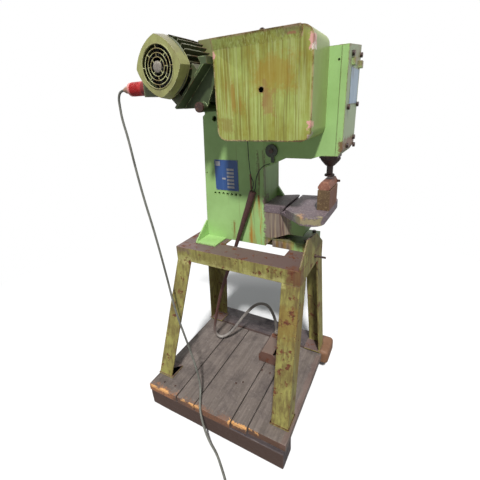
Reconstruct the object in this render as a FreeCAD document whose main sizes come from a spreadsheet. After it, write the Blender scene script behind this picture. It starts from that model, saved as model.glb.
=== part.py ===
import FreeCAD, Part
import math
import os
import re

import Sketcher
from FreeCAD import Placement, Rotation, Vector

# Mechanical stamping press on a welded stand and a timber base, in millimetres.
# +X runs from the motor to the ram, -Y faces the flywheel guard, +Z is up.
# The origin is on the floor under the timber base, midway along it and deck_near
# behind its near edge.

os.makedirs("parts", exist_ok=True)
doc = FreeCAD.newDocument("stamping_press")

# ---------------------------------------------------------------- driving dimensions

SIZES = {
    # timber base
    "deck_length": 823,
    "deck_near": 420,
    "deck_far": 233,
    "plank_four_back": 10,
    "plank_five_back": 20,
    "beam_depth": 167,
    "beam_height": 100,
    "beam_rise": 10,
    "beam_overhang": 35,
    "base_height": 150,
    "plank_thickness": 45,
    "plank_gap": 3,
    "bearer_width": 110,
    "bearer_back": 3,
    "bearer_inset": 6,
    "middle_inset": 60,
    "plank_one": 197,
    "plank_two": 118,
    "plank_three": 219,
    "plank_four": 90,
    # welded stand of angle iron
    "stand_height": 780,
    "stand_length": 678,
    "stand_depth": 363,
    "stand_centre_x": 45,
    "stand_centre_y": 8.5,
    "rail_flange": 120,
    "rail_drop": 75,
    "rail_wall": 9,
    "leg_flange": 88,
    "leg_wall": 8,
    "foot_inset_left": 6.5,
    "foot_inset_right": 16.5,
    "foot_inset_near": 90,
    "foot_inset_far": 90,
    "foot_plate": 100,
    "foot_plate_wall": 8,
    "foot_lap": 4,
    "cross_plate_width": 104,
    "end_plate_wall": 8,
    "end_plate_tip": 20,
    "end_plate_run": 98,
    "end_plate_rise": 111,
    "end_plate_top": 139,
    "end_plate_far_rise": 92,
    "bracket_length": 124,
    "bracket_reach": 115,
    "bracket_wall": 8,
    "bracket_rise": 95,
    "bracket_offset": 75,
    "side_rod_length": 55,
    "side_rod_radius": 5,
    "side_rod_y": 39,
    "side_rod_drop": 20,
    # press frame, two side plates with webs between them
    "frame_near": 15,
    "frame_width": 190,
    "plate_wall": 16,
    "web_wall": 12,
    "back_low": 217,
    "back_high": 172,
    "head_room": 139,
    "throat_wall_x": 133,
    "throat_low_fillet": 35,
    "throat_fillet_rise": 50,
    "throat_high_x": 243,
    "throat_high_rise": 175,
    "arm_underside": 226,
    "nose_x": 355,
    "nose_run": 43,
    "nose_rise": 14,
    "jaw_back_gap": 4,
    "jaw_front": 350,
    "jaw_back_run": 36,
    "jaw_back_rise": 44,
    "jaw_mid_x": 258,
    "jaw_low_rise": 82,
    "jaw_low_x": 332,
    "foot_block_clear": 1,
    "foot_block_back": 10,
    "foot_block_height": 44,
    "foot_bolt_inset": 26,
    "foot_bolt_back": 42,
    "bolt_radius": 6,
    "bolt_head_lap": 4,
    "bolt_head_height": 10,
    "vent_radius": 6.5,
    "vent_pitch": 24.6,
    "vent_count": 7,
    "vent_drop": 19,
    "vent_back": 8,
    "lifting_radius": 12.5,
    "lifting_x": -119,
    "lifting_rise": 69,
    "pin_hole_radius": 3.5,
    "pin_hole_x": -187,
    "pin_hole_rise": 137,
    # table
    "table_rise": 220,
    "table_wall": 40,
    "table_flare_start": 82,
    "table_flare_end": 217,
    "table_reach": 309,
    "table_near_lap": 110,
    "table_far_start": 27,
    "table_far_turn": 92,
    "table_far_lap": 33,
    "table_front_lap": 64,
    "table_round": 60,
    "slot_x": 246,
    "slot_width": 14,
    "slot_under_width": 24,
    "slot_depth": 24,
    "slot_lip": 11,
    # head, ram and tools
    "seam_x": 455.5,
    "front_plate_wall": 27,
    "front_plate_near": 10,
    "front_plate_far": 262,
    "front_chamfer": 16,
    "front_rise_far": 25,
    "block_wall": 14,
    "block_width": 34,
    "block_height": 28,
    "block_drop": 37,
    "block_inset": 58,
    "cheek_hole_radius": 4,
    "cheek_hole_drop": 47,
    "cheek_hole_front": 9,
    "cheek_hole_pitch": 45.5,
    "ram_front_gap": 0.5,
    "ram_show": 18,
    "ram_depth": 78,
    "ram_width": 90,
    "ram_height": 260,
    "ram_gap": 0.4,
    "gib_wall": 12,
    "gib_rise": 12,
    "gib_lip": 15,
    "gib_height": 300,
    "slot_for_rocker": 36,
    "ram_slot_wall": 16,
    "ram_slot_height": 92,
    "ram_pin_inset": 10,
    "nut_radius": 43.5,
    "nut_neck": 18,
    "nut_height": 38,
    "nut_flare": 8,
    "nut_round": 3,
    "punch_radius": 14,
    "punch_flange": 8,
    "punch_chamfer": 4,
    "punch_gap": 11,
    "die_near": 20,
    "die_length": 150,
    "die_depth": 55,
    "die_height": 92,
    "die_cap_height": 30,
    "die_cap_chamfer": 20,
    "die_slit": 5,
    "die_slit_inset": 5,
    # flywheel shaft, clutch and rocker drive
    "shaft_x": 220.5,
    "rod_centres": 171,
    "shaft_radius": 22.5,
    "throw": 6,
    "eccentric_radius": 45,
    "eccentric_width": 34,
    "bush_wall": 7.5,
    "bush_length": 38,
    "shaft_end": 8,
    "fit_gap": 0.05,
    "flywheel_radius": 165,
    "flywheel_width": 72,
    "flywheel_far": -4,
    "rim_wall": 34,
    "hub_back": 2,
    "hub_bush_wall": 6,
    "web_thickness": 20,
    "hub_radius": 48,
    "belt_plane": -20,
    "belt_width": 13,
    "belt_height": 8,
    "belt_gap": 0.4,
    "belt_taper": 1.5,
    "groove_room": 5,
    "collar_radius": 51,
    "collar_width": 32,
    "collar_gap": 6,
    "clutch_pin_radius": 8,
    "clutch_pin_offset": 38,
    "clutch_pin_back": 1,
    "clutch_stroke": 10,
    "clutch_hole_gap": 0.5,
    "clutch_hole_room": 6,
    "rocker_rise": 104,
    "rocker_run": 104.5,
    "rocker_pin_radius": 12,
    "rocker_hub": 30,
    "rocker_blade": 30,
    "rocker_width": 60,
    "rocker_root": 26,
    "rocker_tip": 16,
    "rocker_nose": 14,
    "cheek_root": 24,
    "cheek_tip": 14,
    "cheek_gap": 1,
    "nose_slot_run": 34,
    "nose_slot_gap": 0.5,
    "wrist_radius": 9,
    "rod_blade": 24,
    "rod_ring": 17,
    "rod_eye": 36,
    "rod_shank": 30,
    "shank_lap_low": 8,
    "shank_lap_high": 4,
    "eye_gap": 1.5,
    # motor
    "motor_x": -167.5,
    "motor_rise": 102,
    "cowl_face": -280,
    "cowl_arc": 167,
    "cowl_offset": 70,
    "cowl_flare": 6,
    "cowl_depth": 53,
    "cowl_wall": 2,
    "cowl_lug": 12,
    "cowl_seat": 0.3,
    "grille_disc": 20.5,
    "grille_slot": 11,
    "grille_land": 3.5,
    "grille_web": 3,
    "grille_rings": 4,
    "body_radius": 88,
    "fin_height": 26,
    "fin_root": 2,
    "fin_wall": 3.5,
    "fin_count": 25,
    "fin_arc": 282,
    "body_length": 164,
    "body_wall": 9,
    "shield_length": 20,
    "rotor_radius": 50,
    "motor_shaft": 14,
    "bearing_wall": 14,
    "bearing_width": 14,
    "fan_shield_wall": 9,
    "fan_radius": 74,
    "fan_width": 26,
    "fan_back": 15,
    "blade_wall": 3,
    "blade_count": 8,
    "pulley_radius": 45,
    "pulley_width": 32,
    "foot_distance": 110,
    "foot_pad": 44,
    "motor_foot_length": 140,
    "motor_foot_width": 170,
    "motor_foot_wall": 12,
    "motor_plate_wall": 10,
    "motor_plate_low": 98,
    "motor_plate_high": 118,
    "motor_plate_near": -217,
    "motor_plate_far": -48,
    "shelf_rise": 27,
    "shelf_run": 25,
    "shelf_lap": 12,
    "bracket_web_wall": 8,
    "bracket_web_back": 55,
    "guard_clear": 7,
    "pivot_x": -52,
    "pivot_drop": 49,
    "pivot_radius": 14,
    "pivot_reach": 200,
    "pivot_lug_wall": 5,
    "pivot_head_wall": 12,
    "clamp_low_x": -187,
    "clamp_low_drop": 32,
    "clamp_slope": 36,
    "clamp_run": 110,
    "clamp_slot_radius": 9.5,
    "clamp_shift": 100,
    "ear_wall": 10,
    "ear_half": 16,
    "clamp_radius": 8,
    "clamp_head_lap": 6,
    "clamp_head_height": 9,
    "clamp_nut_height": 8,
    "box_length": 66,
    "box_width": 72,
    "box_height": 74,
    "inlet_radius": 31,
    "inlet_length": 26,
    "plug_y": -190,
    "plug_drop": 63,
    "plug_radius": 30,
    "plug_length": 82,
    "plug_tail_radius": 17,
    "plug_tail_length": 44,
    # guard and covers
    "guard_behind": 32,
    "guard_ahead": 24,
    "guard_below": 16.5,
    "guard_above": 18,
    "guard_front": 109,
    "guard_round": 42,
    "guard_wall": 2,
    "guard_band": 39,
    "guard_lean": 14,
    "guard_hole": 9.5,
    "guard_hole_shift": 4,
    "eye_x": 185,
    "eye_y": -90,
    "eye_radius": 10,
    "eye_wire": 3.5,
    "belt_notch": 62,
    "belt_way_room": 12,
    "belt_way_rise": 78,
    "belt_way_run": 46,
    "cover_left": -133,
    "cover_rise": 32,
    "cover_lap": 60,
    "cover_skirt": 49,
    "cover_skirt_run": 128,
    "cover_gap": 0.3,
    # trip gear
    "cam_x": 176.5,
    "cam_drop": 73,
    "cam_radius": 29,
    "cam_wall": 10,
    "cam_bolt": 6,
    "cam_arm": 46,
    "cam_arm_width": 16,
    "cam_arm_wall": 6,
    "cam_arm_back": 2,
    "cam_gap": 1,
    "cam_pin_head": 5,
    "cam_head_gap": 0.4,
    "wire_radius": 2,
    "wire_x": 67,
    "wire_y": -8,
    "sheath_top_radius": 17,
    "sheath_low_radius": 9,
    "sheath_rise": 64,
    "sheath_drop": 20,
    "hose_radius": 9,
    "pedal_x": 80,
    "pedal_y": 10,
    "pedal_length": 160,
    "pedal_width": 180,
    "pedal_height": 78,
    "pedal_wall": 6,
    "pedal_pin_radius": 5,
    "pedal_pin_x": 40,
    "pedal_pin_rise": 42,
    "pedal_toe": 10,
    "pedal_brow": 20,
    "pedal_back_wall": 26,
    "pedal_side_gap": 4,
    "pedal_tip_gap": 6,
    "pedal_heel": 9,
    "hose_in_x": 50,
    "hose_in_y": 10,
    "hose_union_wall": 4,
    "hose_union_height": 22,
    "hose_union_lap": 6,
    "hose_gap": 0.3,
    "hose_union_floor": 1,
    "spring_wire": 1,
    "spring_radius": 6,
    "spring_turns": 5,
    "spring_height": 25,
    "spring_x": 170,
    # plates
    "nameplate_x": -137,
    "nameplate_rise": 53,
    "nameplate_width": 134,
    "nameplate_height": 154,
    "plate_thickness": 1.5,
    "label_near": 70,
    "label_width": 168,
    "label_drop": 202,
    "label_height": 132,
    # mains lead
    "cable_radius": 5.5,
    "coil_radius": 68,
    "coil_pitch": 11.8,
    "coil_turns": 2,
    "coil_tail": 110,
    "far_collar_length": 22,
}

# Heights and places that follow from the sizes above.
WORKED_OUT = {
    "deck_depth": "deck_near + deck_far",
    "table_height": "base_height + stand_height + table_rise",
    "head_bottom": "table_height + arm_underside + nose_rise",
    "rocker_z": "table_height + arm_underside + rocker_rise",
    "rocker_x": "shaft_x + rocker_run",
    "shaft_z": "rocker_z + rod_centres",
    "frame_top": "shaft_z + head_room",
    "ram_x": "seam_x - ram_front_gap - ram_depth / 2",
    "ram_low": "head_bottom - ram_show",
    "gib_back": "ram_x - ram_depth / 2 - gib_wall",
    "foot_block_end": "stand_centre_x + stand_length / 2 - end_plate_wall - foot_block_back",
    "foot_block_start": "throat_wall_x + jaw_back_gap + jaw_back_run + foot_block_clear",
    "die_top": "table_height + die_height + die_slit + die_cap_height",
    "punch_tip": "die_top + punch_gap",
    "motor_z": "shaft_z + motor_rise",
    "plug_z": "motor_z - plug_drop",
    "pivot_z": "shaft_z - pivot_drop",
    "clamp_low_z": "pivot_z - clamp_low_drop",
    "guard_left": "shaft_x - flywheel_radius - guard_behind",
    "guard_right": "shaft_x + flywheel_radius + guard_ahead",
    "guard_low": "shaft_z - flywheel_radius - guard_below",
    "guard_high": "shaft_z + flywheel_radius + guard_above",
    "guard_near": "flywheel_far - flywheel_width - guard_front",
    "guard_crease": "guard_high - guard_band",
    "cover_high": "guard_high + cover_rise",
    "cam_z": "rocker_z - cam_drop",
    "nameplate_z": "table_height + nameplate_rise",
    "label_low": "frame_top - label_drop",
    "foot_left": "deck_length / 2 - foot_inset_left",
    "foot_right": "deck_length / 2 - foot_inset_right",
    "foot_near": "deck_near - foot_inset_near",
    "foot_far": "deck_far + beam_depth - foot_inset_far",
}

dims = doc.addObject("Spreadsheet::Sheet", "dims")
for row, (alias, value) in enumerate(SIZES.items(), start=1):
    dims.set("A%d" % row, alias)
    dims.set("B%d" % row, str(value))
    dims.setAlias("B%d" % row, alias)
doc.recompute()

# ---------------------------------------------------------------- shared places

BASE_TOP = "base_height"
BEAM_TOP = "(base_height + beam_rise)"
DECK_LEFT = "(-deck_length / 2)"
DECK_RIGHT = "(deck_length / 2)"
DECK_NEAR = "(-deck_near)"
DECK_FAR = "deck_far"
STAND_TOP = "(base_height + stand_height)"
STAND_LEFT = "(stand_centre_x - stand_length / 2)"
STAND_RIGHT = "(stand_centre_x + stand_length / 2)"
STAND_NEAR = "(stand_centre_y - stand_depth / 2)"
STAND_FAR = "(stand_centre_y + stand_depth / 2)"
FRAME_FAR = "(frame_near + frame_width)"
FRAME_MID = "(frame_near + frame_width / 2)"
FRAME_TOP = "frame_top"
INNER_NEAR = "(frame_near + plate_wall)"
INNER_FAR = "(frame_near + frame_width - plate_wall)"
INNER_WIDTH = "(frame_width - 2 * plate_wall)"
ARM_LOW = "(table_height + arm_underside)"
HEAD_FRONT = "(seam_x + front_plate_wall)"
DIE_TOP = "die_top"
FLY_NEAR = "(flywheel_far - flywheel_width)"

TO_Y = Rotation(Vector(1, 0, 0), -90)
TO_X = Rotation(Vector(0, 1, 0), 90)
AXES = {"x": TO_X, "y": TO_Y, "z": Rotation()}

# ---------------------------------------------------------------- helpers

probe = doc.addObject("App::FeaturePython", "probe")
probe.addProperty("App::PropertyFloat", "value")


def link(text):
    """Turn plain size names into references to the spreadsheet."""

    def reference(hit):
        name = hit[0]
        if name in WORKED_OUT:
            return "(" + link(WORKED_OUT[name]) + ")"
        return "dims." + name if name in SIZES else name

    return re.sub(r"[a-z]\w*", reference, str(text))


def number(text):
    """Present value of an expression in size names."""
    probe.setExpression("value", link(text))
    probe.recompute()
    return probe.value


def place(thing, at, rotation=Rotation()):
    """Bind an object's position to expressions, with a fixed rotation."""
    thing.Placement = Placement(Vector(*[number(part) for part in at]), rotation)
    for axis, part in zip("xyz", at):
        thing.setExpression("Placement.Base." + axis, link(part))
    return thing


def box(label, size, at, rotation=Rotation()):
    thing = doc.addObject("Part::Box", label)
    thing.Label = label
    for name, part in zip(("Length", "Width", "Height"), size):
        thing.setExpression(name, link(part))
    return place(thing, at, rotation)


def rod(label, radius, length, at, axis="z"):
    """Round bar from a point along an axis."""
    thing = doc.addObject("Part::Cylinder", label)
    thing.Label = label
    thing.setExpression("Radius", link(radius))
    thing.setExpression("Height", link(length))
    return place(thing, at, AXES[axis])


def cone(label, radii, length, at, rotation):
    thing = doc.addObject("Part::Cone", label)
    thing.Label = label
    thing.setExpression("Radius1", link(radii[0]))
    thing.setExpression("Radius2", link(radii[1]))
    thing.setExpression("Height", link(length))
    return place(thing, at, rotation)


def spot(*at):
    """Present place of a point given in size names."""
    return Vector(*[number(part) for part in at])


def cut(label, base, *tools):
    """Base less one or more tools."""
    thing = doc.addObject("Part::Cut", label)
    thing.Label = label
    thing.Base = base
    thing.Tool = tools[0] if len(tools) == 1 else fuse(label + "_tools", *tools)
    return thing


def fuse(label, *parts):
    thing = doc.addObject("Part::MultiFuse", label)
    thing.Label = label
    thing.Shapes = list(parts)
    return thing


def common(label, *parts):
    """What several solids share."""
    thing = doc.addObject("Part::MultiCommon", label)
    thing.Label = label
    thing.Shapes = list(parts)
    return thing


def group(label, *parts):
    """Separate like pieces in one node."""
    thing = doc.addObject("Part::Compound", label)
    thing.Label = label
    thing.Links = list(parts)
    return thing


def mirror_y(label, source, plane_y):
    """Copy of a piece, mirrored across a plane of constant y."""
    thing = doc.addObject("Part::Mirroring", label)
    thing.Label = label
    thing.Source = source
    thing.Normal = Vector(0, 1, 0)
    thing.setExpression("Base.y", link(plane_y))
    return thing


def draw(sketch, outline):
    """Closed polygon whose corners are bound to expressions."""
    corners = [Vector(number(across), number(along), 0) for across, along in outline]
    count = len(corners)
    for index in range(count):
        sketch.addGeometry(Part.LineSegment(corners[index], corners[(index + 1) % count]), False)
    for index in range(count):
        sketch.addConstraint(Sketcher.Constraint("Coincident", index, 2, (index + 1) % count, 1))
    for index, texts in enumerate(outline):
        for kind, text, value in zip(("DistanceX", "DistanceY"), texts, corners[index]):
            key = sketch.addConstraint(Sketcher.Constraint(kind, -1, 1, index, 1, value))
            sketch.setExpression("Constraints[%d]" % key, link(text))


def body_sketch(body, name, role):
    sketch = body.newObject("Sketcher::SketchObject", name)
    plane = [item for item in body.Origin.OriginFeatures if item.Role == role][0]
    sketch.AttachmentSupport = [(plane, "")]
    sketch.MapMode = "FlatFace"
    return sketch


def pad(label, outline, length, at=("0", "0", "0"), role="XZ_Plane", rotation=Rotation()):
    """Outline padded along the positive normal axis of its plane."""
    body = doc.addObject("PartDesign::Body", label)
    body.Label = label
    sketch = body_sketch(body, label + "_sketch", role)
    draw(sketch, outline)
    feature = body.newObject("PartDesign::Pad", label + "_pad")
    feature.Profile = sketch
    feature.setExpression("Length", link(length))
    feature.Reversed = role == "XZ_Plane"
    return place(body, at, rotation)


def turn(label, outline, at, axis="z"):
    """Outline of (radius, height) corners turned about its own axis."""
    body = doc.addObject("PartDesign::Body", label)
    body.Label = label
    sketch = body_sketch(body, label + "_sketch", "XZ_Plane")
    draw(sketch, outline)
    feature = body.newObject("PartDesign::Revolution", label + "_turned")
    feature.Profile = sketch
    feature.ReferenceAxis = (sketch, ["V_Axis"])
    feature.Angle = 360
    return place(body, at, AXES[axis])


def loose_sketch(name, outline, height):
    sketch = doc.addObject("Sketcher::SketchObject", name)
    draw(sketch, outline)
    return place(sketch, ("0", "0", height))


def round_edges(body, radius, chosen):
    """Round the straight edges of a body's last feature that a test picks."""
    doc.recompute()
    tip = body.Tip
    names = ["Edge%d" % (index + 1) for index, edge in enumerate(tip.Shape.Edges) if chosen(edge)]
    feature = body.newObject("PartDesign::Fillet", body.Name + "_round")
    feature.Base = (tip, names)
    feature.setExpression("Radius", link(radius))
    body.Tip = feature
    return body


def along(edge, direction):
    """True for a straight edge along a direction."""
    first, last = edge.Vertexes[0].Point, edge.Vertexes[-1].Point
    return (last - first).cross(direction).Length < 1e-6 and (last - first).Length > 1e-6


def pipe(points, radius):
    """Round tube along straight runs joined by tangent arcs."""
    runs = [(after - before).Length for before, after in zip(points, points[1:])]
    edges, start, tightest = [], points[0], 1e9
    for index in range(1, len(points) - 1):
        corner = points[index]
        back = (points[index - 1] - corner).normalize()
        ahead = (points[index + 1] - corner).normalize()
        reach = 0.45 * min(runs[index - 1], runs[index])
        half_turn = (math.pi - back.getAngle(ahead)) / 2
        arc_radius = reach / math.tan(half_turn)
        tightest = min(tightest, arc_radius)
        bisector = (back + ahead).normalize()
        middle = corner + bisector * (arc_radius / math.cos(half_turn) - arc_radius)
        first, last = corner + back * reach, corner + ahead * reach
        edges.append(Part.LineSegment(start, first).toShape())
        edges.append(Part.Arc(first, middle, last).toShape())
        start = last
    edges.append(Part.LineSegment(start, points[-1]).toShape())
    return tube_on(edges, radius), tightest


def tube_on(edges, radius):
    """Round tube swept along joined edges, from the first edge's start, its volume compared."""
    wire = Part.Wire(edges)
    first = edges[0]
    origin = first.valueAt(first.FirstParameter)
    heading = first.tangentAt(first.FirstParameter)
    section = Part.Wire(Part.Circle(origin, heading, radius).toShape())
    solid = wire.makePipeShell([section], True, False)
    print("tube volume over section times length", round(solid.Volume / (math.pi * radius ** 2 * wire.Length), 4))
    return solid


def biarc(start, start_way, end, end_way):
    """Two tangent arcs from one point and heading to another."""
    gap = end - start
    spread = 2 * (1 - start_way.dot(end_way))
    along_gap = gap.dot(start_way + end_way)
    reach = (math.sqrt(along_gap ** 2 + spread * gap.dot(gap)) - along_gap) / spread
    join = (start + end + (start_way - end_way) * reach) / 2
    arcs = []
    for first, corner, last in ((start, start + start_way * reach, join), (join, end - end_way * reach, end)):
        chord_mid = (first + last) / 2
        half_chord = (last - first).Length / 2
        outward = corner - chord_mid
        sag = half_chord * math.tan(math.atan2(outward.Length, half_chord) / 2)
        arcs.append(Part.Arc(first, chord_mid + outward.normalize() * sag, last).toShape())
    return arcs


def helix_edges(centre, inward_way, ahead_way, radius, pitch, turns):
    """Quarter-turn biarcs up a helix that starts and ends level, and its end point."""
    edges, quarters, rise = [], 4 * turns, pitch / (2 * math.pi)
    point, ahead = centre - inward_way * radius, Vector(ahead_way)
    for quarter in range(1, quarters + 1):
        before, before_way = point, ahead
        angle = math.pi / 2 * quarter
        side = ahead_way * math.sin(angle) - inward_way * math.cos(angle)
        way = ahead_way * math.cos(angle) + inward_way * math.sin(angle)
        point = centre + side * radius + Vector(0, 0, rise * angle)
        ahead = (way * radius + Vector(0, 0, 0 if quarter == quarters else rise)).normalize()
        edges.extend(biarc(before, before_way, point, ahead))
    return edges, point


def feature(label, shape):
    thing = doc.addObject("Part::Feature", label)
    thing.Label = label
    thing.Shape = shape
    return thing


NODES = []


def node(thing):
    """Mark an object as one of the pieces that are written out."""
    NODES.append(thing)
    return thing


# ---------------------------------------------------------------- timber base

PLANKS = [("plank_one", "0"), ("plank_two", "0"), ("plank_three", "0"), ("plank_four", "plank_four_back"),
          ("deck_length - plank_one - plank_two - plank_three - plank_four", "plank_five_back")]
PLANK_LOW = BASE_TOP + " - plank_thickness"
planks = []
plank_start = DECK_LEFT
for index, (width, back) in enumerate(PLANKS, start=1):
    planks.append(box("plank_%d" % index,
                      (width + " - plank_gap", "deck_depth - plank_gap - " + back, "plank_thickness"),
                      (plank_start + " + plank_gap / 2", DECK_NEAR + " + " + back, PLANK_LOW)))
    plank_start += " + " + width
node(group("deck_planks", *planks))

BEARER_LEFT = DECK_LEFT + " + bearer_inset"
SHORT_BEARER = "deck_length - bearer_inset - middle_inset"
bearer_near = box("bearer_near", ("deck_length - 2 * bearer_inset", "bearer_width", PLANK_LOW),
                  (BEARER_LEFT, DECK_NEAR + " + bearer_back", "0"))
bearer_middle = box("bearer_middle", (SHORT_BEARER, "bearer_width", PLANK_LOW),
                    (BEARER_LEFT, DECK_NEAR + " + deck_depth / 2", "0"))
BEAM_LOW = BEAM_TOP + " - beam_height"
BEAM_RIGHT = DECK_RIGHT + " + beam_overhang"
beam_bearer = box("beam_bearer", (SHORT_BEARER, "beam_depth", BEAM_LOW), (BEARER_LEFT, DECK_FAR, "0"))
rear_beam = pad("rear_beam",
                [(DECK_LEFT, BEAM_LOW), (BEAM_RIGHT, BEAM_LOW), (BEAM_RIGHT, BEAM_TOP), (DECK_LEFT, BEAM_TOP)],
                "beam_depth", ("0", DECK_FAR, "0"))
beam_end = number(BEAM_RIGHT)
round_edges(rear_beam, "beam_overhang * 0.6",
            lambda edge: along(edge, Vector(0, 1, 0)) and edge.BoundBox.XMin > beam_end - 1)
node(group("bearers", rear_beam, beam_bearer, bearer_near, bearer_middle))

# ---------------------------------------------------------------- stand


def angle_corner(corner_x, corner_y, side_x, side_y):
    """Plan of an angle iron from its outer corner, opening along two signs."""
    far_x = "%s + %d * leg_flange" % (corner_x, side_x)
    far_y = "%s + %d * leg_flange" % (corner_y, side_y)
    wall_x = "%s + %d * leg_wall" % (corner_x, side_x)
    wall_y = "%s + %d * leg_wall" % (corner_y, side_y)
    return [(corner_x, corner_y), (far_x, corner_y), (far_x, wall_y),
            (wall_x, wall_y), (wall_x, far_y), (corner_x, far_y)]


LEGS = {
    "leg_near_left": ("-foot_left", "-foot_near", STAND_LEFT, STAND_NEAR, 1, 1, BASE_TOP),
    "leg_near_right": ("foot_right", "-foot_near", STAND_RIGHT, STAND_NEAR, -1, 1, BASE_TOP),
    "leg_far_left": ("-foot_left", "foot_far", STAND_LEFT, STAND_FAR, 1, -1, BEAM_TOP),
    "leg_far_right": ("foot_right", "foot_far", STAND_RIGHT, STAND_FAR, -1, -1, BEAM_TOP),
}
for label, (foot_x, foot_y, top_x, top_y, side_x, side_y, floor) in LEGS.items():
    low = loose_sketch(label + "_low", angle_corner(foot_x, foot_y, side_x, side_y), floor + " + foot_plate_wall")
    high = loose_sketch(label + "_high", angle_corner(top_x, top_y, side_x, side_y), STAND_TOP + " - rail_drop")
    leg = doc.addObject("Part::Loft", label + "_angle")
    leg.Sections = [low, high]
    leg.Solid = True
    leg.Ruled = True
    start_x = foot_x + (" - foot_lap" if side_x > 0 else " - foot_plate + foot_lap")
    start_y = foot_y + (" - foot_lap" if side_y > 0 else " - foot_plate + foot_lap")
    foot = box(label + "_foot", ("foot_plate", "foot_plate", "foot_plate_wall"), (start_x, start_y, floor))
    node(fuse(label, leg, foot))

RAIL_LOW = STAND_TOP + " - rail_drop"
RAIL_WEB = STAND_TOP + " - rail_wall"
long_rails = []
for label, edge, sign in (("rail_near", STAND_NEAR, 1), ("rail_far", STAND_FAR, -1)):
    profile = [(edge, RAIL_LOW), (edge, STAND_TOP), ("%s + %d * rail_flange" % (edge, sign), STAND_TOP),
               ("%s + %d * rail_flange" % (edge, sign), RAIL_WEB), ("%s + %d * rail_wall" % (edge, sign), RAIL_WEB),
               ("%s + %d * rail_wall" % (edge, sign), RAIL_LOW)]
    long_rails.append(pad(label, profile, "stand_length", (STAND_LEFT, "0", "0"), "YZ_Plane"))
node(group("long_rails", *long_rails))

end_web = ("rail_wall", "stand_depth - 2 * rail_wall", "rail_drop - rail_wall")
end_flange = ("rail_flange", "stand_depth - 2 * rail_flange", "rail_wall")
flange_y = STAND_NEAR + " + rail_flange"
left_web = box("rail_left_web", end_web, (STAND_LEFT, STAND_NEAR + " + rail_wall", RAIL_LOW))
left_top = box("rail_left_top", ("rail_flange + cross_plate_width", end_flange[1], "rail_wall"),
               (STAND_LEFT, flange_y, RAIL_WEB))
rail_left = fuse("rail_left", left_web, left_top)

right_web = box("rail_right_web", end_web, (STAND_RIGHT + " - rail_wall", STAND_NEAR + " + rail_wall", RAIL_LOW))
right_top = box("rail_right_top", end_flange, (STAND_RIGHT + " - rail_flange", flange_y, RAIL_WEB))
node(group("end_rails", rail_left, fuse("rail_right", right_web, right_top)))

# An upright gusset plate stands on the right rail, over the whole depth of the stand.
RIDGE_NEAR = STAND_NEAR + " + end_plate_run"
node(pad("end_plate",
         [(STAND_NEAR, STAND_TOP), (STAND_FAR, STAND_TOP),
          (RIDGE_NEAR + " + end_plate_top", STAND_TOP + " + end_plate_far_rise"),
          (RIDGE_NEAR, STAND_TOP + " + end_plate_rise"), (STAND_NEAR, STAND_TOP + " + end_plate_tip")],
         "end_plate_wall", (STAND_RIGHT + " - end_plate_wall", "0", "0"), "YZ_Plane"))

# The bracket that ties the press foot to the near rail.
bracket_left = "(%s + bracket_offset)" % STAND_LEFT
bracket_plate = box("bracket_plate", ("bracket_length", "bracket_reach", "bracket_wall"),
                    (bracket_left, "frame_near - bracket_reach", STAND_TOP))
bracket_web = pad("bracket_web",
                  [("frame_near - bracket_reach", STAND_TOP + " + bracket_wall"),
                   ("frame_near", STAND_TOP + " + bracket_wall"), ("frame_near", STAND_TOP + " + bracket_rise")],
                  "bracket_wall", (bracket_left, "0", "0"), "YZ_Plane")
base_bracket = fuse("base_bracket", bracket_plate, bracket_web)

# ---------------------------------------------------------------- press frame

JAW_START = "throat_wall_x + jaw_back_gap"
TABLE_LOW = "table_height - table_wall"
SIDE_LOW = [
    ("-back_low", STAND_TOP),
    (JAW_START, STAND_TOP),
    (JAW_START + " + jaw_back_run", STAND_TOP + " + jaw_back_rise"),
    ("jaw_mid_x", STAND_TOP + " + jaw_low_rise"),
    ("jaw_low_x", STAND_TOP + " + jaw_low_rise"),
    ("jaw_front", TABLE_LOW),
    ("throat_wall_x", TABLE_LOW),
]
SIDE_HIGH = [
    ("throat_wall_x", "table_height + throat_high_rise"),
    ("throat_high_x", ARM_LOW),
    ("nose_x", ARM_LOW),
    ("nose_x + nose_run", "head_bottom"),
    ("seam_x", "head_bottom"),
    ("seam_x", FRAME_TOP),
    ("-back_high", FRAME_TOP),
]

# Only the far plate comes forward over the table's top.
THROAT_CORNER = [
    ("throat_wall_x", "table_height"),
    ("throat_wall_x + throat_low_fillet", "table_height"),
    ("throat_wall_x", "table_height + throat_fillet_rise"),
]


def side_holes(label, start, plates):
    """Bores shared by both side plates."""
    return [rod(label + "_bore", "shaft_radius + bush_wall", plates, ("shaft_x", start, "shaft_z"), "y"),
            rod(label + "_rocker_hole", "rocker_pin_radius", plates, ("rocker_x", start, "rocker_z"), "y"),
            rod(label + "_pivot_hole", "pivot_radius", plates, ("pivot_x", start, "pivot_z"), "y")]


near_blank = pad("side_blank_near", SIDE_LOW + SIDE_HIGH, "plate_wall", ("0", "frame_near", "0"))
near_tools = side_holes("near", "frame_near", "plate_wall")
for index in range(SIZES["vent_count"]):
    near_tools.append(rod("vent_%d" % (index + 1), "vent_radius", "plate_wall",
                          ("nameplate_x - vent_back + %d * vent_pitch" % index, "frame_near",
                           "nameplate_z - vent_drop"), "y"))
near_tools.append(rod("lifting_hole", "lifting_radius", "plate_wall",
                      ("lifting_x", "frame_near", "rocker_z + lifting_rise"), "y"))
near_tools.append(rod("pin_hole", "pin_hole_radius", "plate_wall",
                      ("pin_hole_x", "frame_near", "table_height + pin_hole_rise"), "y"))
near_tools.append(rod("cam_hole", "cam_bolt", "plate_wall", ("cam_x", "frame_near", "cam_z"), "y"))
for index in range(2):
    near_tools.append(rod("cheek_hole_%d" % (index + 1), "cheek_hole_radius", "plate_wall",
                          ("seam_x - cheek_hole_front - %d * cheek_hole_pitch" % index, "frame_near",
                           FRAME_TOP + " - cheek_hole_drop"), "y"))
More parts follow.
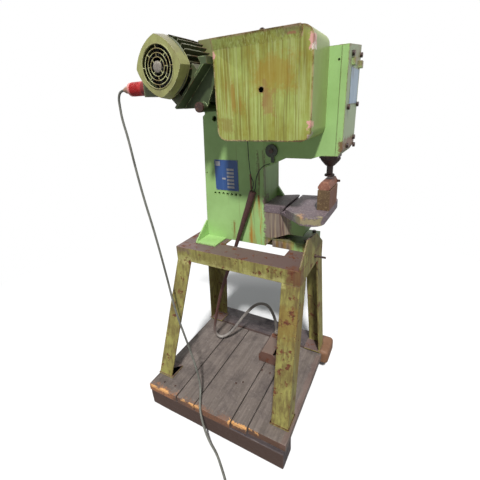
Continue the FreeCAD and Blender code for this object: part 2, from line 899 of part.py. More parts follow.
slot_turn = Rotation(Vector(0, 1, 0), -number("clamp_slope"))
near_tools.append(box("clamp_slot", ("clamp_run", "plate_wall", "2 * clamp_slot_radius"),
                      ("clamp_low_x + clamp_slot_radius * sin(clamp_slope)", "frame_near",
                       "clamp_low_z - clamp_slot_radius * cos(clamp_slope)"), slot_turn))
near_tools.append(rod("clamp_slot_low", "clamp_slot_radius", "plate_wall",
                      ("clamp_low_x", "frame_near", "clamp_low_z"), "y"))
near_tools.append(rod("clamp_slot_high", "clamp_slot_radius", "plate_wall",
                      ("clamp_low_x + clamp_run * cos(clamp_slope)", "frame_near",
                       "clamp_low_z + clamp_run * sin(clamp_slope)"), "y"))
node(cut("side_plate_near", near_blank, *near_tools))

far_blank = pad("side_blank_far", SIDE_LOW + THROAT_CORNER + SIDE_HIGH, "plate_wall", ("0", INNER_FAR, "0"))
node(cut("side_plate_far", far_blank, *side_holes("far", INNER_FAR, "plate_wall")))

# Back and top are one bent plate between the side plates.
node(pad("back_plate",
         [("-back_low", STAND_TOP), ("-back_low + web_wall", STAND_TOP),
          ("-back_high + web_wall", FRAME_TOP + " - web_wall"), ("seam_x", FRAME_TOP + " - web_wall"),
          ("seam_x", FRAME_TOP), ("-back_high", FRAME_TOP)],
         INNER_WIDTH, ("0", INNER_NEAR, "0")))

# The web behind the throat carries on as the arm's underside.
node(pad("throat_web",
         [("throat_wall_x - web_wall", TABLE_LOW), ("throat_wall_x", TABLE_LOW),
          ("throat_wall_x", "table_height + throat_high_rise"), ("throat_high_x", ARM_LOW), ("nose_x", ARM_LOW),
          ("nose_x", ARM_LOW + " + web_wall"), ("throat_high_x - 3", ARM_LOW + " + web_wall"),
          ("throat_wall_x - web_wall", "table_height + throat_high_rise + web_wall * 0.6")],
         INNER_WIDTH, ("0", INNER_NEAR, "0")))

# Column floor, jaw underside and jaw front in one bent plate.
node(pad("jaw_web",
         [("-back_low + web_wall + 1", STAND_TOP), (JAW_START, STAND_TOP),
          (JAW_START + " + jaw_back_run", STAND_TOP + " + jaw_back_rise"),
          ("jaw_mid_x", STAND_TOP + " + jaw_low_rise"), ("jaw_low_x", STAND_TOP + " + jaw_low_rise"),
          ("jaw_front", TABLE_LOW), ("jaw_front - web_wall", TABLE_LOW),
          ("jaw_low_x - web_wall", STAND_TOP + " + jaw_low_rise + web_wall"),
          ("jaw_mid_x - 3", STAND_TOP + " + jaw_low_rise + web_wall"),
          (JAW_START + " + jaw_back_run - 8", STAND_TOP + " + jaw_back_rise + web_wall"),
          ("throat_wall_x - 1", STAND_TOP + " + web_wall"),
          ("-back_low + web_wall + 1", STAND_TOP + " + web_wall")],
         INNER_WIDTH, ("0", INNER_NEAR, "0")))

front_foot = box("front_foot", ("foot_block_end - foot_block_start", "frame_width", "foot_block_height"),
                 ("foot_block_start", "frame_near", STAND_TOP))
node(group("press_feet", front_foot, base_bracket))

# ---------------------------------------------------------------- table and lower tool

TABLE_NEAR = "frame_near - table_near_lap"
TABLE_FAR = "(%s + table_front_lap)" % FRAME_FAR
TABLE_FRONT = "throat_wall_x + table_reach"
table_blank = pad("table_blank",
                  [("throat_wall_x", "frame_near"), ("throat_wall_x + table_flare_start", "frame_near"),
                   ("throat_wall_x + table_flare_end", TABLE_NEAR), (TABLE_FRONT, TABLE_NEAR),
                   (TABLE_FRONT, TABLE_FAR), ("throat_wall_x + table_far_turn", FRAME_FAR + " + table_far_lap"),
                   ("throat_wall_x + table_far_start", FRAME_FAR), ("throat_wall_x", FRAME_FAR)],
                  "table_wall", ("0", "0", TABLE_LOW), "XY_Plane")
table_edge = number(TABLE_FRONT)
round_edges(table_blank, "table_round",
            lambda edge: along(edge, Vector(0, 0, 1)) and edge.BoundBox.XMin > table_edge - 1)
TABLE_SPAN = TABLE_FAR + " - (%s)" % TABLE_NEAR
slot_throat = box("slot_throat", ("slot_width", TABLE_SPAN, "slot_depth"),
                  ("slot_x - slot_width / 2", TABLE_NEAR, "table_height - slot_lip"))
slot_under = box("slot_under", ("slot_under_width", TABLE_SPAN, "slot_depth - slot_lip"),
                 ("slot_x - slot_under_width / 2", TABLE_NEAR, "table_height - slot_depth"))
node(cut("table", table_blank, slot_throat, slot_under))

DIE_LEFT = "ram_x - die_depth / 2"
DIE_RIGHT = "ram_x + die_depth / 2"
node(box("lower_die", ("die_depth", "die_length", "die_height"), (DIE_LEFT, "die_near", "table_height")))
SLIT_TOP = "table_height + die_height + die_slit"
node(pad("die_cap",
         [(DIE_LEFT + " + die_slit_inset", "table_height + die_height"),
          (DIE_RIGHT + " - die_slit_inset", "table_height + die_height"),
          (DIE_RIGHT + " - die_slit_inset", SLIT_TOP),
          (DIE_RIGHT, SLIT_TOP), (DIE_RIGHT, DIE_TOP + " - die_cap_chamfer"),
          (DIE_RIGHT + " - die_cap_chamfer * 0.6", DIE_TOP), (DIE_LEFT + " + die_cap_chamfer * 0.6", DIE_TOP),
          (DIE_LEFT, DIE_TOP + " - die_cap_chamfer"), (DIE_LEFT, SLIT_TOP),
          (DIE_LEFT + " + die_slit_inset", SLIT_TOP)],
         "die_length", ("0", "die_near", "0")))

# ---------------------------------------------------------------- head, ram and upper tool

front_slab = pad("front_slab",
                 [("seam_x", "head_bottom"), (HEAD_FRONT + " - front_chamfer", "head_bottom"),
                  (HEAD_FRONT, "head_bottom + front_chamfer * 1.6"), (HEAD_FRONT, FRAME_TOP),
                  ("seam_x", FRAME_TOP)],
                 "front_plate_far - front_plate_near", ("0", "front_plate_near", "0"))
front_crest = pad("front_crest",
                  [("front_plate_near", FRAME_TOP), ("front_plate_far", FRAME_TOP),
                   ("front_plate_far", FRAME_TOP + " + front_rise_far")],
                  "front_plate_wall", ("seam_x", "0", "0"), "YZ_Plane")
stop_blocks = [box("stop_block_" + name, ("block_wall", "block_width", "block_height"),
                   (HEAD_FRONT, across, FRAME_TOP + " - block_drop - block_height"))
               for name, across in (("near", "front_plate_near + block_inset"),
                                    ("far", "front_plate_far - block_inset + block_width / 2"))]
node(fuse("head_front_plate", front_slab, front_crest, *stop_blocks))

RAM_NEAR = "%s - ram_width / 2" % FRAME_MID
RAM_BACK = "ram_x - ram_depth / 2"
gib_outline = [("gib_back", INNER_NEAR), ("seam_x", INNER_NEAR), ("seam_x", RAM_NEAR + " - ram_gap"),
               (RAM_BACK + " - ram_gap", RAM_NEAR + " - ram_gap"),
               (RAM_BACK + " - ram_gap", RAM_NEAR + " + gib_lip"),
               ("gib_back", RAM_NEAR + " + gib_lip")]
gib_near = pad("gib_near", gib_outline, "gib_height", ("0", "0", "head_bottom + gib_rise"), "XY_Plane")
gib_far = mirror_y("gib_far", gib_near, FRAME_MID)
node(group("gibs", gib_near, gib_far))

ram_block = box("ram_block", ("ram_depth", "ram_width", "ram_height"), (RAM_BACK, RAM_NEAR, "ram_low"))
ram_slot = box("ram_slot", ("ram_depth - ram_slot_wall", "slot_for_rocker", "ram_slot_height"),
               (RAM_BACK, "%s - slot_for_rocker / 2" % FRAME_MID, "rocker_z - ram_slot_height / 2"))
ram_cross_pin = rod("ram_cross_pin", "wrist_radius", "ram_width - 2 * ram_pin_inset",
                    ("ram_x", RAM_NEAR + " + ram_pin_inset", "rocker_z"), "y")
node(fuse("ram", cut("ram_body", ram_block, ram_slot), ram_cross_pin))

node(turn("ram_nut",
          [("0", "-nut_height"), ("nut_neck", "-nut_height"), ("nut_neck + nut_flare", "-nut_height + nut_flare"),
           ("nut_radius - nut_round", "-nut_height * 0.35"), ("nut_radius", "-nut_height * 0.2"),
           ("nut_radius", "0"), ("0", "0")],
          ("ram_x", FRAME_MID, "ram_low")))
PUNCH_LENGTH = "(ram_low - nut_height - punch_tip)"
node(turn("punch",
          [("0", "0"), ("punch_radius + punch_flange", "0"), ("punch_radius + punch_flange", "punch_flange"),
           ("punch_radius", "punch_flange + punch_chamfer"), ("punch_radius", PUNCH_LENGTH), ("0", PUNCH_LENGTH)],
          ("ram_x", FRAME_MID, "punch_tip")))

# ---------------------------------------------------------------- shaft, clutch and rocker

CLUTCH_NEAR = "(%s - collar_gap - collar_width)" % FLY_NEAR
shaft_bar = rod("shaft_bar", "shaft_radius", FRAME_FAR + " + shaft_end - " + CLUTCH_NEAR,
                ("shaft_x", CLUTCH_NEAR, "shaft_z"), "y")
eccentric = rod("eccentric", "eccentric_radius", "eccentric_width",
                ("shaft_x", "%s - eccentric_width / 2" % FRAME_MID, "shaft_z - throw"), "y")
node(fuse("main_shaft", shaft_bar, eccentric))

BUSH_OUTER = "shaft_radius + bush_wall"
bush_outline = [("shaft_radius + fit_gap", "0"), (BUSH_OUTER, "0"), (BUSH_OUTER, "bush_length"),
                ("shaft_radius + fit_gap", "bush_length")]
bush_near = turn("bush_near", bush_outline, ("shaft_x", "frame_near", "shaft_z"), "y")
bush_far = turn("bush_far", bush_outline, ("shaft_x", FRAME_FAR + " - bush_length", "shaft_z"), "y")
node(group("shaft_bushes", bush_near, bush_far))

FLY_BORE = "shaft_radius + hub_bush_wall"
HUB_FROM = "hub_back"
HUB_TO = "flywheel_width - hub_back"
GROOVE_HALF = "(belt_width / 2 - belt_taper)"
GROOVE_MID = "(belt_plane - %s)" % FLY_NEAR
RIM_INSIDE = "flywheel_radius - rim_wall"
flywheel_blank = turn("flywheel_blank",
                      [(FLY_BORE, HUB_FROM), ("hub_radius", HUB_FROM),
                       ("hub_radius", "flywheel_width / 2 - web_thickness / 2"),
                       (RIM_INSIDE, "flywheel_width / 2 - web_thickness / 2"), (RIM_INSIDE, "0"),
                       ("flywheel_radius", "0"),
                       ("flywheel_radius", GROOVE_MID + " - belt_width / 2 - belt_gap"),
                       ("flywheel_radius - belt_height - groove_room", GROOVE_MID + " - " + GROOVE_HALF),
                       ("flywheel_radius - belt_height - groove_room", GROOVE_MID + " + " + GROOVE_HALF),
                       ("flywheel_radius", GROOVE_MID + " + belt_width / 2 + belt_gap"),
                       ("flywheel_radius", "flywheel_width"), (RIM_INSIDE, "flywheel_width"),
                       (RIM_INSIDE, "flywheel_width / 2 + web_thickness / 2"),
                       ("hub_radius", "flywheel_width / 2 + web_thickness / 2"), ("hub_radius", HUB_TO),
                       (FLY_BORE, HUB_TO)],
                      ("shaft_x", FLY_NEAR, "shaft_z"), "y")
PIN_AT = "shaft_z + clutch_pin_offset"
clutch_hole = rod("clutch_hole", "clutch_pin_radius + clutch_hole_gap", "clutch_stroke + clutch_hole_room",
                  ("shaft_x", FLY_NEAR, PIN_AT), "y")
node(cut("flywheel", flywheel_blank, clutch_hole))
node(turn("flywheel_bush",
          [("shaft_radius + fit_gap", HUB_FROM), (FLY_BORE, HUB_FROM), (FLY_BORE, HUB_TO),
           ("shaft_radius + fit_gap", HUB_TO)],
          ("shaft_x", FLY_NEAR, "shaft_z"), "y"))

collar_blank = turn("collar_blank",
                    [("shaft_radius", "0"), ("collar_radius", "0"), ("collar_radius", "collar_width"),
                     ("shaft_radius", "collar_width")],
                    ("shaft_x", CLUTCH_NEAR, "shaft_z"), "y")
collar_hole = rod("collar_hole", "clutch_pin_radius + fit_gap", "collar_width",
                  ("shaft_x", CLUTCH_NEAR, PIN_AT), "y")
node(cut("clutch_collar", collar_blank, collar_hole))
node(rod("clutch_pin", "clutch_pin_radius", "collar_width + clutch_stroke",
         ("shaft_x", CLUTCH_NEAR + " - clutch_stroke - clutch_pin_back", PIN_AT), "y"))

RING_OUTER = "eccentric_radius + rod_ring"
ECCENTRIC_Z = "(shaft_z - throw)"
ROD_NEAR = "%s - rod_blade / 2" % FRAME_MID
BLADE_NEAR = "%s - rocker_blade / 2" % FRAME_MID
ring = rod("rod_ring_blank", RING_OUTER, "rocker_blade", ("shaft_x", BLADE_NEAR, ECCENTRIC_Z), "y")
SHANK_LOW = "(rocker_z + rod_eye - shank_lap_low)"
SHANK_HIGH = ECCENTRIC_Z + " - eccentric_radius + shank_lap_high"
shank = box("rod_shank_bar", ("rod_shank", "rod_blade", SHANK_HIGH + " - " + SHANK_LOW),
            ("shaft_x - rod_shank / 2", ROD_NEAR, SHANK_LOW))
eye = rod("rod_eye_blank", "rod_eye", "rod_blade", ("shaft_x", ROD_NEAR, "rocker_z"), "y")
ring_bore = rod("rod_ring_bore", "eccentric_radius + fit_gap", "rocker_blade",
                ("shaft_x", BLADE_NEAR, ECCENTRIC_Z), "y")
EYE_WIDE = "(wrist_radius + throw + eye_gap)"
EYE_TALL = "(wrist_radius + 2 * throw + eye_gap)"
eye_window = box("rod_eye_window", ("2 * " + EYE_WIDE, "rod_blade", "2 * " + EYE_TALL),
                 ("shaft_x - " + EYE_WIDE, ROD_NEAR, "rocker_z - " + EYE_TALL))
node(cut("connecting_rod", fuse("rod_blank", ring, shank, eye), ring_bore, eye_window))

ROCKER_NEAR = "%s - rocker_width / 2" % FRAME_MID
CHEEK_IN = "rod_blade / 2 + cheek_gap"
CHEEK_WALL = "(rocker_width / 2 - (%s))" % CHEEK_IN
hub = rod("rocker_hub_blank", "rocker_hub", "rocker_width", ("rocker_x", ROCKER_NEAR, "rocker_z"), "y")
front_arm = pad("rocker_front",
                [("rocker_x", "rocker_z - rocker_root"), ("ram_x + rocker_nose", "rocker_z - rocker_tip"),
                 ("ram_x + rocker_nose", "rocker_z + rocker_tip"), ("rocker_x", "rocker_z + rocker_root")],
                "rocker_blade", ("0", BLADE_NEAR, "0"))
rear_outline = [("rocker_x", "rocker_z - cheek_root"), ("rocker_x", "rocker_z + cheek_root"),
                ("shaft_x - cheek_tip", "rocker_z + cheek_tip"), ("shaft_x - cheek_tip", "rocker_z - cheek_tip")]
cheek_near = pad("rocker_cheek_near", rear_outline, CHEEK_WALL, ("0", ROCKER_NEAR, "0"))
cheek_far = pad("rocker_cheek_far", rear_outline, CHEEK_WALL, ("0", "%s + %s" % (FRAME_MID, CHEEK_IN), "0"))
wrist = rod("rocker_wrist", "wrist_radius", "rocker_width", ("shaft_x", ROCKER_NEAR, "rocker_z"), "y")
rocker_bore = rod("rocker_bore", "rocker_pin_radius + fit_gap", "rocker_width",
                  ("rocker_x", ROCKER_NEAR, "rocker_z"), "y")
nose_slot = box("rocker_nose_slot", ("nose_slot_run", "rocker_blade", "2 * (wrist_radius + nose_slot_gap)"),
                ("ram_x - rocker_nose", BLADE_NEAR, "rocker_z - wrist_radius - nose_slot_gap"))
rocker_blank = fuse("rocker_blank", hub, front_arm, cheek_near, cheek_far, wrist)
node(cut("rocker", rocker_blank, rocker_bore, nose_slot))
rocker_pin = rod("rocker_pin", "rocker_pin_radius", "frame_width", ("rocker_x", "frame_near", "rocker_z"), "y")

# ---------------------------------------------------------------- motor

COWL_BACK = "(cowl_face + cowl_depth)"
BODY_NEAR = COWL_BACK
BODY_FAR = "(cowl_face + cowl_depth + body_length)"
SHIELD_FAR = "(cowl_face + cowl_depth + body_length + shield_length)"
MOTOR_AT = ("motor_x", BODY_NEAR, "motor_z")


def spoke(label, inner, outer, wall, span, start, angle):
    """Flat arm out from the motor's axis, its angle counted clockwise from +x."""
    at_x = "motor_x + (%s) * cos(%s) - (%s) / 2 * sin(%s)" % (inner, angle, wall, angle)
    at_z = "motor_z - (%s) * sin(%s) - (%s) / 2 * cos(%s)" % (inner, angle, wall, angle)
    return box(label, ("(%s) - (%s)" % (outer, inner), span, wall), (at_x, start, at_z),
               Rotation(Vector(0, 1, 0), angle))


def cowl_form(label, inset, start):
    """Rounded square of the cowl, flaring to the back: what four cones share."""
    radii = ("cowl_arc - (%s)" % inset, "cowl_arc + cowl_flare - (%s)" % inset)
    lobes = []
    for quarter in range(4):
        angle = 45 + 90 * quarter
        at = ("motor_x + cowl_offset * cos(%d)" % angle, start, "motor_z + cowl_offset * sin(%d)" % angle)
        lobes.append(cone("%s_lobe_%d" % (label, quarter + 1), radii, "cowl_depth", at, TO_Y))
    return common(label, *lobes)


cowl_blank = cowl_form("cowl_blank", "0", "cowl_face")
cowl_inside = cowl_form("cowl_inside", "cowl_wall", "cowl_face + cowl_wall")
COWL_AT = ("motor_x", "cowl_face", "motor_z")
grille = []
for index in range(SIZES["grille_rings"]):
    inner = "grille_disc + %d * (grille_slot + grille_land)" % index
    outer_ring = rod("grille_outer_%d" % index, inner + " + grille_slot", "cowl_wall", COWL_AT, "y")
    inner_ring = rod("grille_inner_%d" % index, inner, "cowl_wall", COWL_AT, "y")
    webs = [spoke("grille_web_%d_%d" % (index, angle), "0", inner + " + grille_slot + 1", "grille_web", "cowl_wall",
                  "cowl_face", angle)
            for angle in range(45 * ((index + 1) % 2), 360, 90)]
    grille.append(cut("grille_ring_%d" % index, outer_ring, inner_ring, *webs))
node(cut("fan_cowl", cowl_blank, cowl_inside, *grille))

housing_tube = cut("housing_tube", rod("housing_outside", "body_radius", "body_length", MOTOR_AT, "y"),
                   rod("housing_bore", "body_radius - body_wall", "body_length", MOTOR_AT, "y"))

# The fins leave the side of the feet free, which faces down and to the right.
FEET_ANGLE = 45
fin_pitch = SIZES["fin_arc"] / (SIZES["fin_count"] - 1)
first_fin = FEET_ANGLE + (360 - SIZES["fin_arc"]) / 2
fins = [spoke("housing_fin_%d" % (index + 1), "body_radius - fin_root", "body_radius + fin_height", "fin_wall",
              "body_length", BODY_NEAR, first_fin + index * fin_pitch)
        for index in range(SIZES["fin_count"])]

half = "cos(%d)" % FEET_ANGLE
FEET_NEAR = "motor_plate_near + foot_lap"


def tilted(label, size, along_plate, below, start_y):
    """Box on the 45 degree motor base: first size runs up the slope, third away from the motor."""
    at_x = "motor_x + %s * (%s) + %s * (%s)" % (half, below, half, along_plate)
    at_z = "motor_z - %s * (%s) + %s * (%s)" % (half, below, half, along_plate)
    return box(label, size, (at_x, start_y, at_z), Rotation(Vector(0, 1, 0), -FEET_ANGLE))


foot_pads = []
for name, along_plate in (("low", "-motor_foot_width / 2"), ("high", "motor_foot_width / 2 - foot_pad")):
    foot_pads.append(tilted("motor_foot_" + name,
                            ("foot_pad", "motor_foot_length", "foot_distance - body_radius + motor_foot_wall"),
                            along_plate, "foot_distance", FEET_NEAR))
BEARING_RADIUS = "motor_shaft + bearing_wall"
shield_outline = [(BEARING_RADIUS, "0"), ("body_radius", "0"), ("body_radius", "shield_length * 0.5"),
                  (BEARING_RADIUS + " + 10", "shield_length"), (BEARING_RADIUS, "shield_length")]
drive_shield = turn("drive_shield", shield_outline, ("motor_x", BODY_FAR, "motor_z"), "y")
fan_shield = turn("fan_shield",
                  [(BEARING_RADIUS, "0"), ("body_radius - body_wall + fin_root", "0"),
                   ("body_radius - body_wall + fin_root", "fan_shield_wall"), (BEARING_RADIUS, "fan_shield_wall")],
                  ("motor_x", BODY_NEAR, "motor_z"), "y")
BOX_RIGHT = "(motor_x - body_radius + motor_foot_wall + fin_root)"
terminal_box = box("terminal_box", ("box_length", "box_width", "box_height"),
                   (BOX_RIGHT + " - box_length", "plug_y - box_width / 2", "plug_z - box_height / 2"))
housing_core = rod("housing_core", "body_radius - body_wall", "body_length", MOTOR_AT, "y")
outside = cut("motor_outside", fuse("motor_outside_blank", terminal_box, *foot_pads), housing_core)

# Lugs on the diagonals, under the flats of the cowl's rim, carry it.
LUG_NEAR = COWL_BACK + " - cowl_lug"
LUG_REACH = "cowl_arc - cowl_offset + cowl_flare * (1 - cowl_lug / cowl_depth) - cowl_wall - cowl_seat"
cowl_lugs = [spoke("cowl_lug_%d" % angle, "body_radius - body_wall + 1", LUG_REACH, "cowl_lug",
                   "cowl_lug + fin_root", LUG_NEAR, angle)
             for angle in range(FEET_ANGLE, 360, 90)]
node(fuse("motor_housing", housing_tube, *fins, outside, drive_shield, fan_shield, *cowl_lugs))

BEARING_BORE = "motor_shaft + fit_gap"
bearings = []
for name, start in (("rear", BODY_NEAR), ("drive", SHIELD_FAR + " - bearing_width")):
    bearings.append(turn("motor_bearing_" + name,
                         [(BEARING_BORE, "0"), (BEARING_RADIUS, "0"), (BEARING_RADIUS, "bearing_width"),
                          (BEARING_BORE, "bearing_width")],
                         ("motor_x", start, "motor_z"), "y"))
node(group("motor_bearings", *bearings))

PULLEY_NEAR = "(belt_plane - pulley_width / 2)"
PULLEY_FAR = "(belt_plane + pulley_width / 2)"
ROTOR_NEAR = "(cowl_face + 12)"
rotor_shaft = rod("rotor_shaft", "motor_shaft", PULLEY_FAR + " - " + ROTOR_NEAR,
                  ("motor_x", ROTOR_NEAR, "motor_z"), "y")
rotor_core = rod("rotor_core", "rotor_radius", "body_length - 60", ("motor_x", BODY_NEAR + " + 30", "motor_z"), "y")
node(fuse("rotor", rotor_shaft, rotor_core))

fan_hub = turn("fan_hub",
               [("motor_shaft", "0"), ("motor_shaft + 10", "0"), ("motor_shaft + 10", "fan_width - 4"),
                ("fan_radius", "fan_width - 4"), ("fan_radius", "fan_width"), ("motor_shaft", "fan_width")],
               ("motor_x", "cowl_face + fan_back", "motor_z"), "y")
blades = [spoke("fan_blade_%d" % (index + 1), "motor_shaft + 8", "fan_radius - 4", "blade_wall", "fan_width - 4",
                "cowl_face + fan_back", 360 / SIZES["blade_count"] * index)
          for index in range(SIZES["blade_count"])]
node(fuse("motor_fan", fan_hub, *blades))

node(turn("motor_pulley",
          [("motor_shaft", "0"), ("pulley_radius", "0"),
           ("pulley_radius", "pulley_width / 2 - belt_width / 2 - belt_gap"),
           ("pulley_radius - belt_height - groove_room", "pulley_width / 2 - " + GROOVE_HALF),
           ("pulley_radius - belt_height - groove_room", "pulley_width / 2 + " + GROOVE_HALF),
           ("pulley_radius", "pulley_width / 2 + belt_width / 2 + belt_gap"), ("pulley_radius", "pulley_width"),
           ("motor_shaft", "pulley_width")],
          ("motor_x", PULLEY_NEAR, "motor_z"), "y"))


def belt_loop(inset):
    """Flat face bounded by the belt's path round both grooves."""
    first = Vector(number("motor_x"), 0, number("motor_z"))
    last = Vector(number("shaft_x"), 0, number("shaft_z"))
    small = number("pulley_radius - belt_gap") - inset
    large = number("flywheel_radius - belt_gap") - inset
    span = last - first
    lean = math.asin((large - small) / span.Length)
    base = math.atan2(span.z, span.x)

    def rim(centre, radius, angle):
        return centre + Vector(math.cos(angle), 0, math.sin(angle)) * radius

    upper = base + math.pi / 2 + lean
    lower = base - math.pi / 2 - lean
    edges = [
        Part.LineSegment(rim(first, small, upper), rim(last, large, upper)).toShape(),
        Part.Arc(rim(last, large, upper), rim(last, large, base), rim(last, large, lower)).toShape(),
        Part.LineSegment(rim(last, large, lower), rim(first, small, lower)).toShape(),
        Part.Arc(rim(first, small, lower), rim(first, small, base + math.pi), rim(first, small, upper)).toShape(),
    ]
    return Part.Face(Part.Wire(edges))


belt_from = spot("0", "belt_plane - " + GROOVE_HALF, "0")
belt_across = spot("0", "2 * " + GROOVE_HALF, "0")
belt_shape = belt_loop(0).extrude(belt_across).cut(belt_loop(number("belt_height")).extrude(belt_across))
belt_shape.translate(belt_from)
node(feature("v_belt", belt_shape.Solids[0]))

# ---------------------------------------------------------------- motor bracket

PLATE_DEPTH = "motor_plate_far - motor_plate_near"
PLATE_BELOW = "foot_distance + motor_plate_wall"
motor_plate = tilted("motor_plate", ("motor_plate_low + motor_plate_high", PLATE_DEPTH, "motor_plate_wall"),
                     "-motor_plate_low", PLATE_BELOW, "motor_plate_near")
PLATE_LOW_X = "motor_x + %s * (%s - motor_plate_low)" % (half, PLATE_BELOW)
PLATE_LOW_Z = "motor_z - %s * (%s + motor_plate_low)" % (half, PLATE_BELOW)
PLATE_HIGH_X = "motor_x + %s * (%s + motor_plate_high)" % (half, PLATE_BELOW)
PLATE_HIGH_Z = "motor_z - %s * (%s - motor_plate_high)" % (half, PLATE_BELOW)
BRACKET_RIGHT = "guard_left - guard_clear"
shelf = pad("bracket_shelf",
            [(PLATE_HIGH_X + " - shelf_lap", PLATE_HIGH_Z), (BRACKET_RIGHT, PLATE_HIGH_Z),
             (BRACKET_RIGHT, PLATE_HIGH_Z + " + shelf_rise"),
             (PLATE_HIGH_X + " - shelf_run", PLATE_HIGH_Z + " + shelf_rise")],
            PLATE_DEPTH, ("0", "motor_plate_near", "0"))
web_outline = [(PLATE_LOW_X, PLATE_LOW_Z), ("pivot_x + pivot_radius + foot_lap", PLATE_LOW_Z),
               (BRACKET_RIGHT, "pivot_z + 2 * pivot_drop"), (BRACKET_RIGHT, PLATE_HIGH_Z),
               (PLATE_HIGH_X, PLATE_HIGH_Z)]
web_near = pad("bracket_web_near", web_outline, "bracket_web_wall",
               ("0", "motor_plate_near + bracket_web_back", "0"))
web_far = pad("bracket_web_far", web_outline, "bracket_web_wall", ("0", "motor_plate_far - bracket_web_wall", "0"))
PIVOT_NEAR = "(frame_near - pivot_reach)"
LUG_RADIUS = "pivot_radius + pivot_lug_wall"
pivot_tube = rod("bracket_lug", LUG_RADIUS, "pivot_reach", ("pivot_x", PIVOT_NEAR, "pivot_z"), "y")
pivot_bore = rod("bracket_lug_bore", "pivot_radius", "pivot_reach", ("pivot_x", PIVOT_NEAR, "pivot_z"), "y")

# The bracket's ear reaches the slot in the side plate, where a bolt clamps it.
CLAMP_X = "(clamp_low_x + clamp_shift * cos(clamp_slope))"
CLAMP_Z = "(clamp_low_z + clamp_shift * sin(clamp_slope))"
EAR_AT = "frame_near - ear_wall"
ear = pad("bracket_ear",
          [(CLAMP_X + " - ear_half", CLAMP_Z + " - ear_half"), (CLAMP_X + " + ear_half", CLAMP_Z + " - ear_half"),
           ("pivot_x", "pivot_z - (%s)" % LUG_RADIUS), ("pivot_x", "pivot_z + " + LUG_RADIUS),
           (CLAMP_X + " - ear_half", CLAMP_Z + " + ear_half")],
          "ear_wall", ("0", EAR_AT, "0"))
ear_hole = rod("bracket_ear_hole", "clamp_radius", "ear_wall", (CLAMP_X, EAR_AT, CLAMP_Z), "y")
bracket_blank = fuse("bracket_blank", motor_plate, shelf, web_near, web_far, pivot_tube, ear)
node(cut("motor_bracket", bracket_blank, pivot_bore, ear_hole))

HEAD_NEAR = PIVOT_NEAR + " - pivot_head_wall"
pivot_bar = rod("pivot_bar", "pivot_radius", "pivot_reach + frame_width + pivot_head_wall",
                ("pivot_x", HEAD_NEAR, "pivot_z"), "y")
pivot_head = rod("pivot_head", LUG_RADIUS + " + 1", "pivot_head_wall", ("pivot_x", HEAD_NEAR, "pivot_z"), "y")
bracket_pivot = fuse("bracket_pivot", pivot_bar, pivot_head)
clamp_bar = rod("clamp_bar", "clamp_radius", "ear_wall + plate_wall + clamp_nut_height",
                (CLAMP_X, EAR_AT, CLAMP_Z), "y")
CLAMP_HEAD = "clamp_radius + clamp_head_lap"
clamp_head = rod("clamp_head", CLAMP_HEAD, "clamp_head_height",
                 (CLAMP_X, EAR_AT + " - clamp_head_height", CLAMP_Z), "y")
clamp_nut = rod("clamp_nut", CLAMP_HEAD, "clamp_nut_height", (CLAMP_X, INNER_NEAR, CLAMP_Z), "y")
node(group("bracket_bolts", bracket_pivot, fuse("bracket_clamp", clamp_bar, clamp_head, clamp_nut)))

# ---------------------------------------------------------------- guard and belt cover

GUARD_DEPTH = "(frame_near - guard_near)"


def guard_outline(inset):
    return [("guard_left + " + inset, "guard_low + " + inset), ("guard_right - " + inset, "guard_low + " + inset),
            ("guard_right - " + inset, "guard_high - " + inset), ("guard_left + " + inset, "guard_high - " + inset)]


guard_blank = pad("guard_blank", guard_outline("0"), GUARD_DEPTH, ("0", "guard_near", "0"))
round_edges(guard_blank, "guard_round", lambda edge: along(edge, Vector(0, 1, 0)))
guard_inside = pad("guard_inside", guard_outline("guard_wall"), GUARD_DEPTH,
                   ("0", "guard_near + guard_wall", "0"))
round_edges(guard_inside, "guard_round - guard_wall", lambda edge: along(edge, Vector(0, 1, 0)))
guard_eye = rod("guard_eye", "guard_hole", "guard_wall",
                ("(guard_left + guard_right) / 2 + guard_hole_shift", "guard_near", "shaft_z"), "y")
BELT_WAY_DEPTH = "(belt_notch + belt_way_room)"
belt_way = box("belt_way", ("belt_way_run + guard_wall", BELT_WAY_DEPTH, "guard_high - guard_low"),
               ("guard_left - guard_wall", "frame_near - " + BELT_WAY_DEPTH, "guard_low + belt_way_rise"))
wire_way = rod("wire_way", "wire_radius + guard_wall", "guard_wall", ("wire_x", "wire_y", "guard_low"))


def lip(label, out, inset, start, span):
    """Wedge by which the guard's top leans out over its face."""
    face = "guard_near + " + inset
    return pad(label,
               [(face, "guard_crease"), (face, "guard_high - " + inset),
                (face + " - " + out, "guard_high - " + inset)],
               span, (start, "0", "0"), "YZ_Plane")


LIP_SPAN = "guard_right - guard_left - guard_round"
lip_out = lip("guard_lip", "guard_lean", "0", "guard_left", LIP_SPAN)
lip_in = lip("guard_lip_inside", "guard_lean", "guard_wall", "guard_left + guard_wall",
             LIP_SPAN + " - 2 * guard_wall")
guard_full = fuse("guard_full", guard_blank, lip_out)
node(cut("guard", guard_full, guard_inside, lip_in, guard_eye, belt_way, wire_way))

COVER_LENGTH = "guard_left + cover_lap - cover_left"
COVER_NEAR = "frame_near - belt_notch"
cover_top = box("cover_top", (COVER_LENGTH, "belt_notch", "guard_wall"),
                ("cover_left", COVER_NEAR, "cover_high - guard_wall"))
cover_front = box("cover_front", (COVER_LENGTH, "guard_wall", "cover_high - guard_high"),
                  ("cover_left", COVER_NEAR, "guard_high"))
cover_left_wall = box("cover_left_wall", ("guard_wall", "belt_notch", "cover_high - guard_high"),
                      ("cover_left", COVER_NEAR, "guard_high"))
cover_skirt = box("cover_skirt", ("cover_skirt_run - cover_gap", "guard_wall", "cover_skirt"),
                  ("guard_left - cover_skirt_run", COVER_NEAR, "guard_high - cover_skirt"))
node(fuse("belt_cover", cover_top, cover_front, cover_left_wall, cover_skirt))

# ---------------------------------------------------------------- trip gear

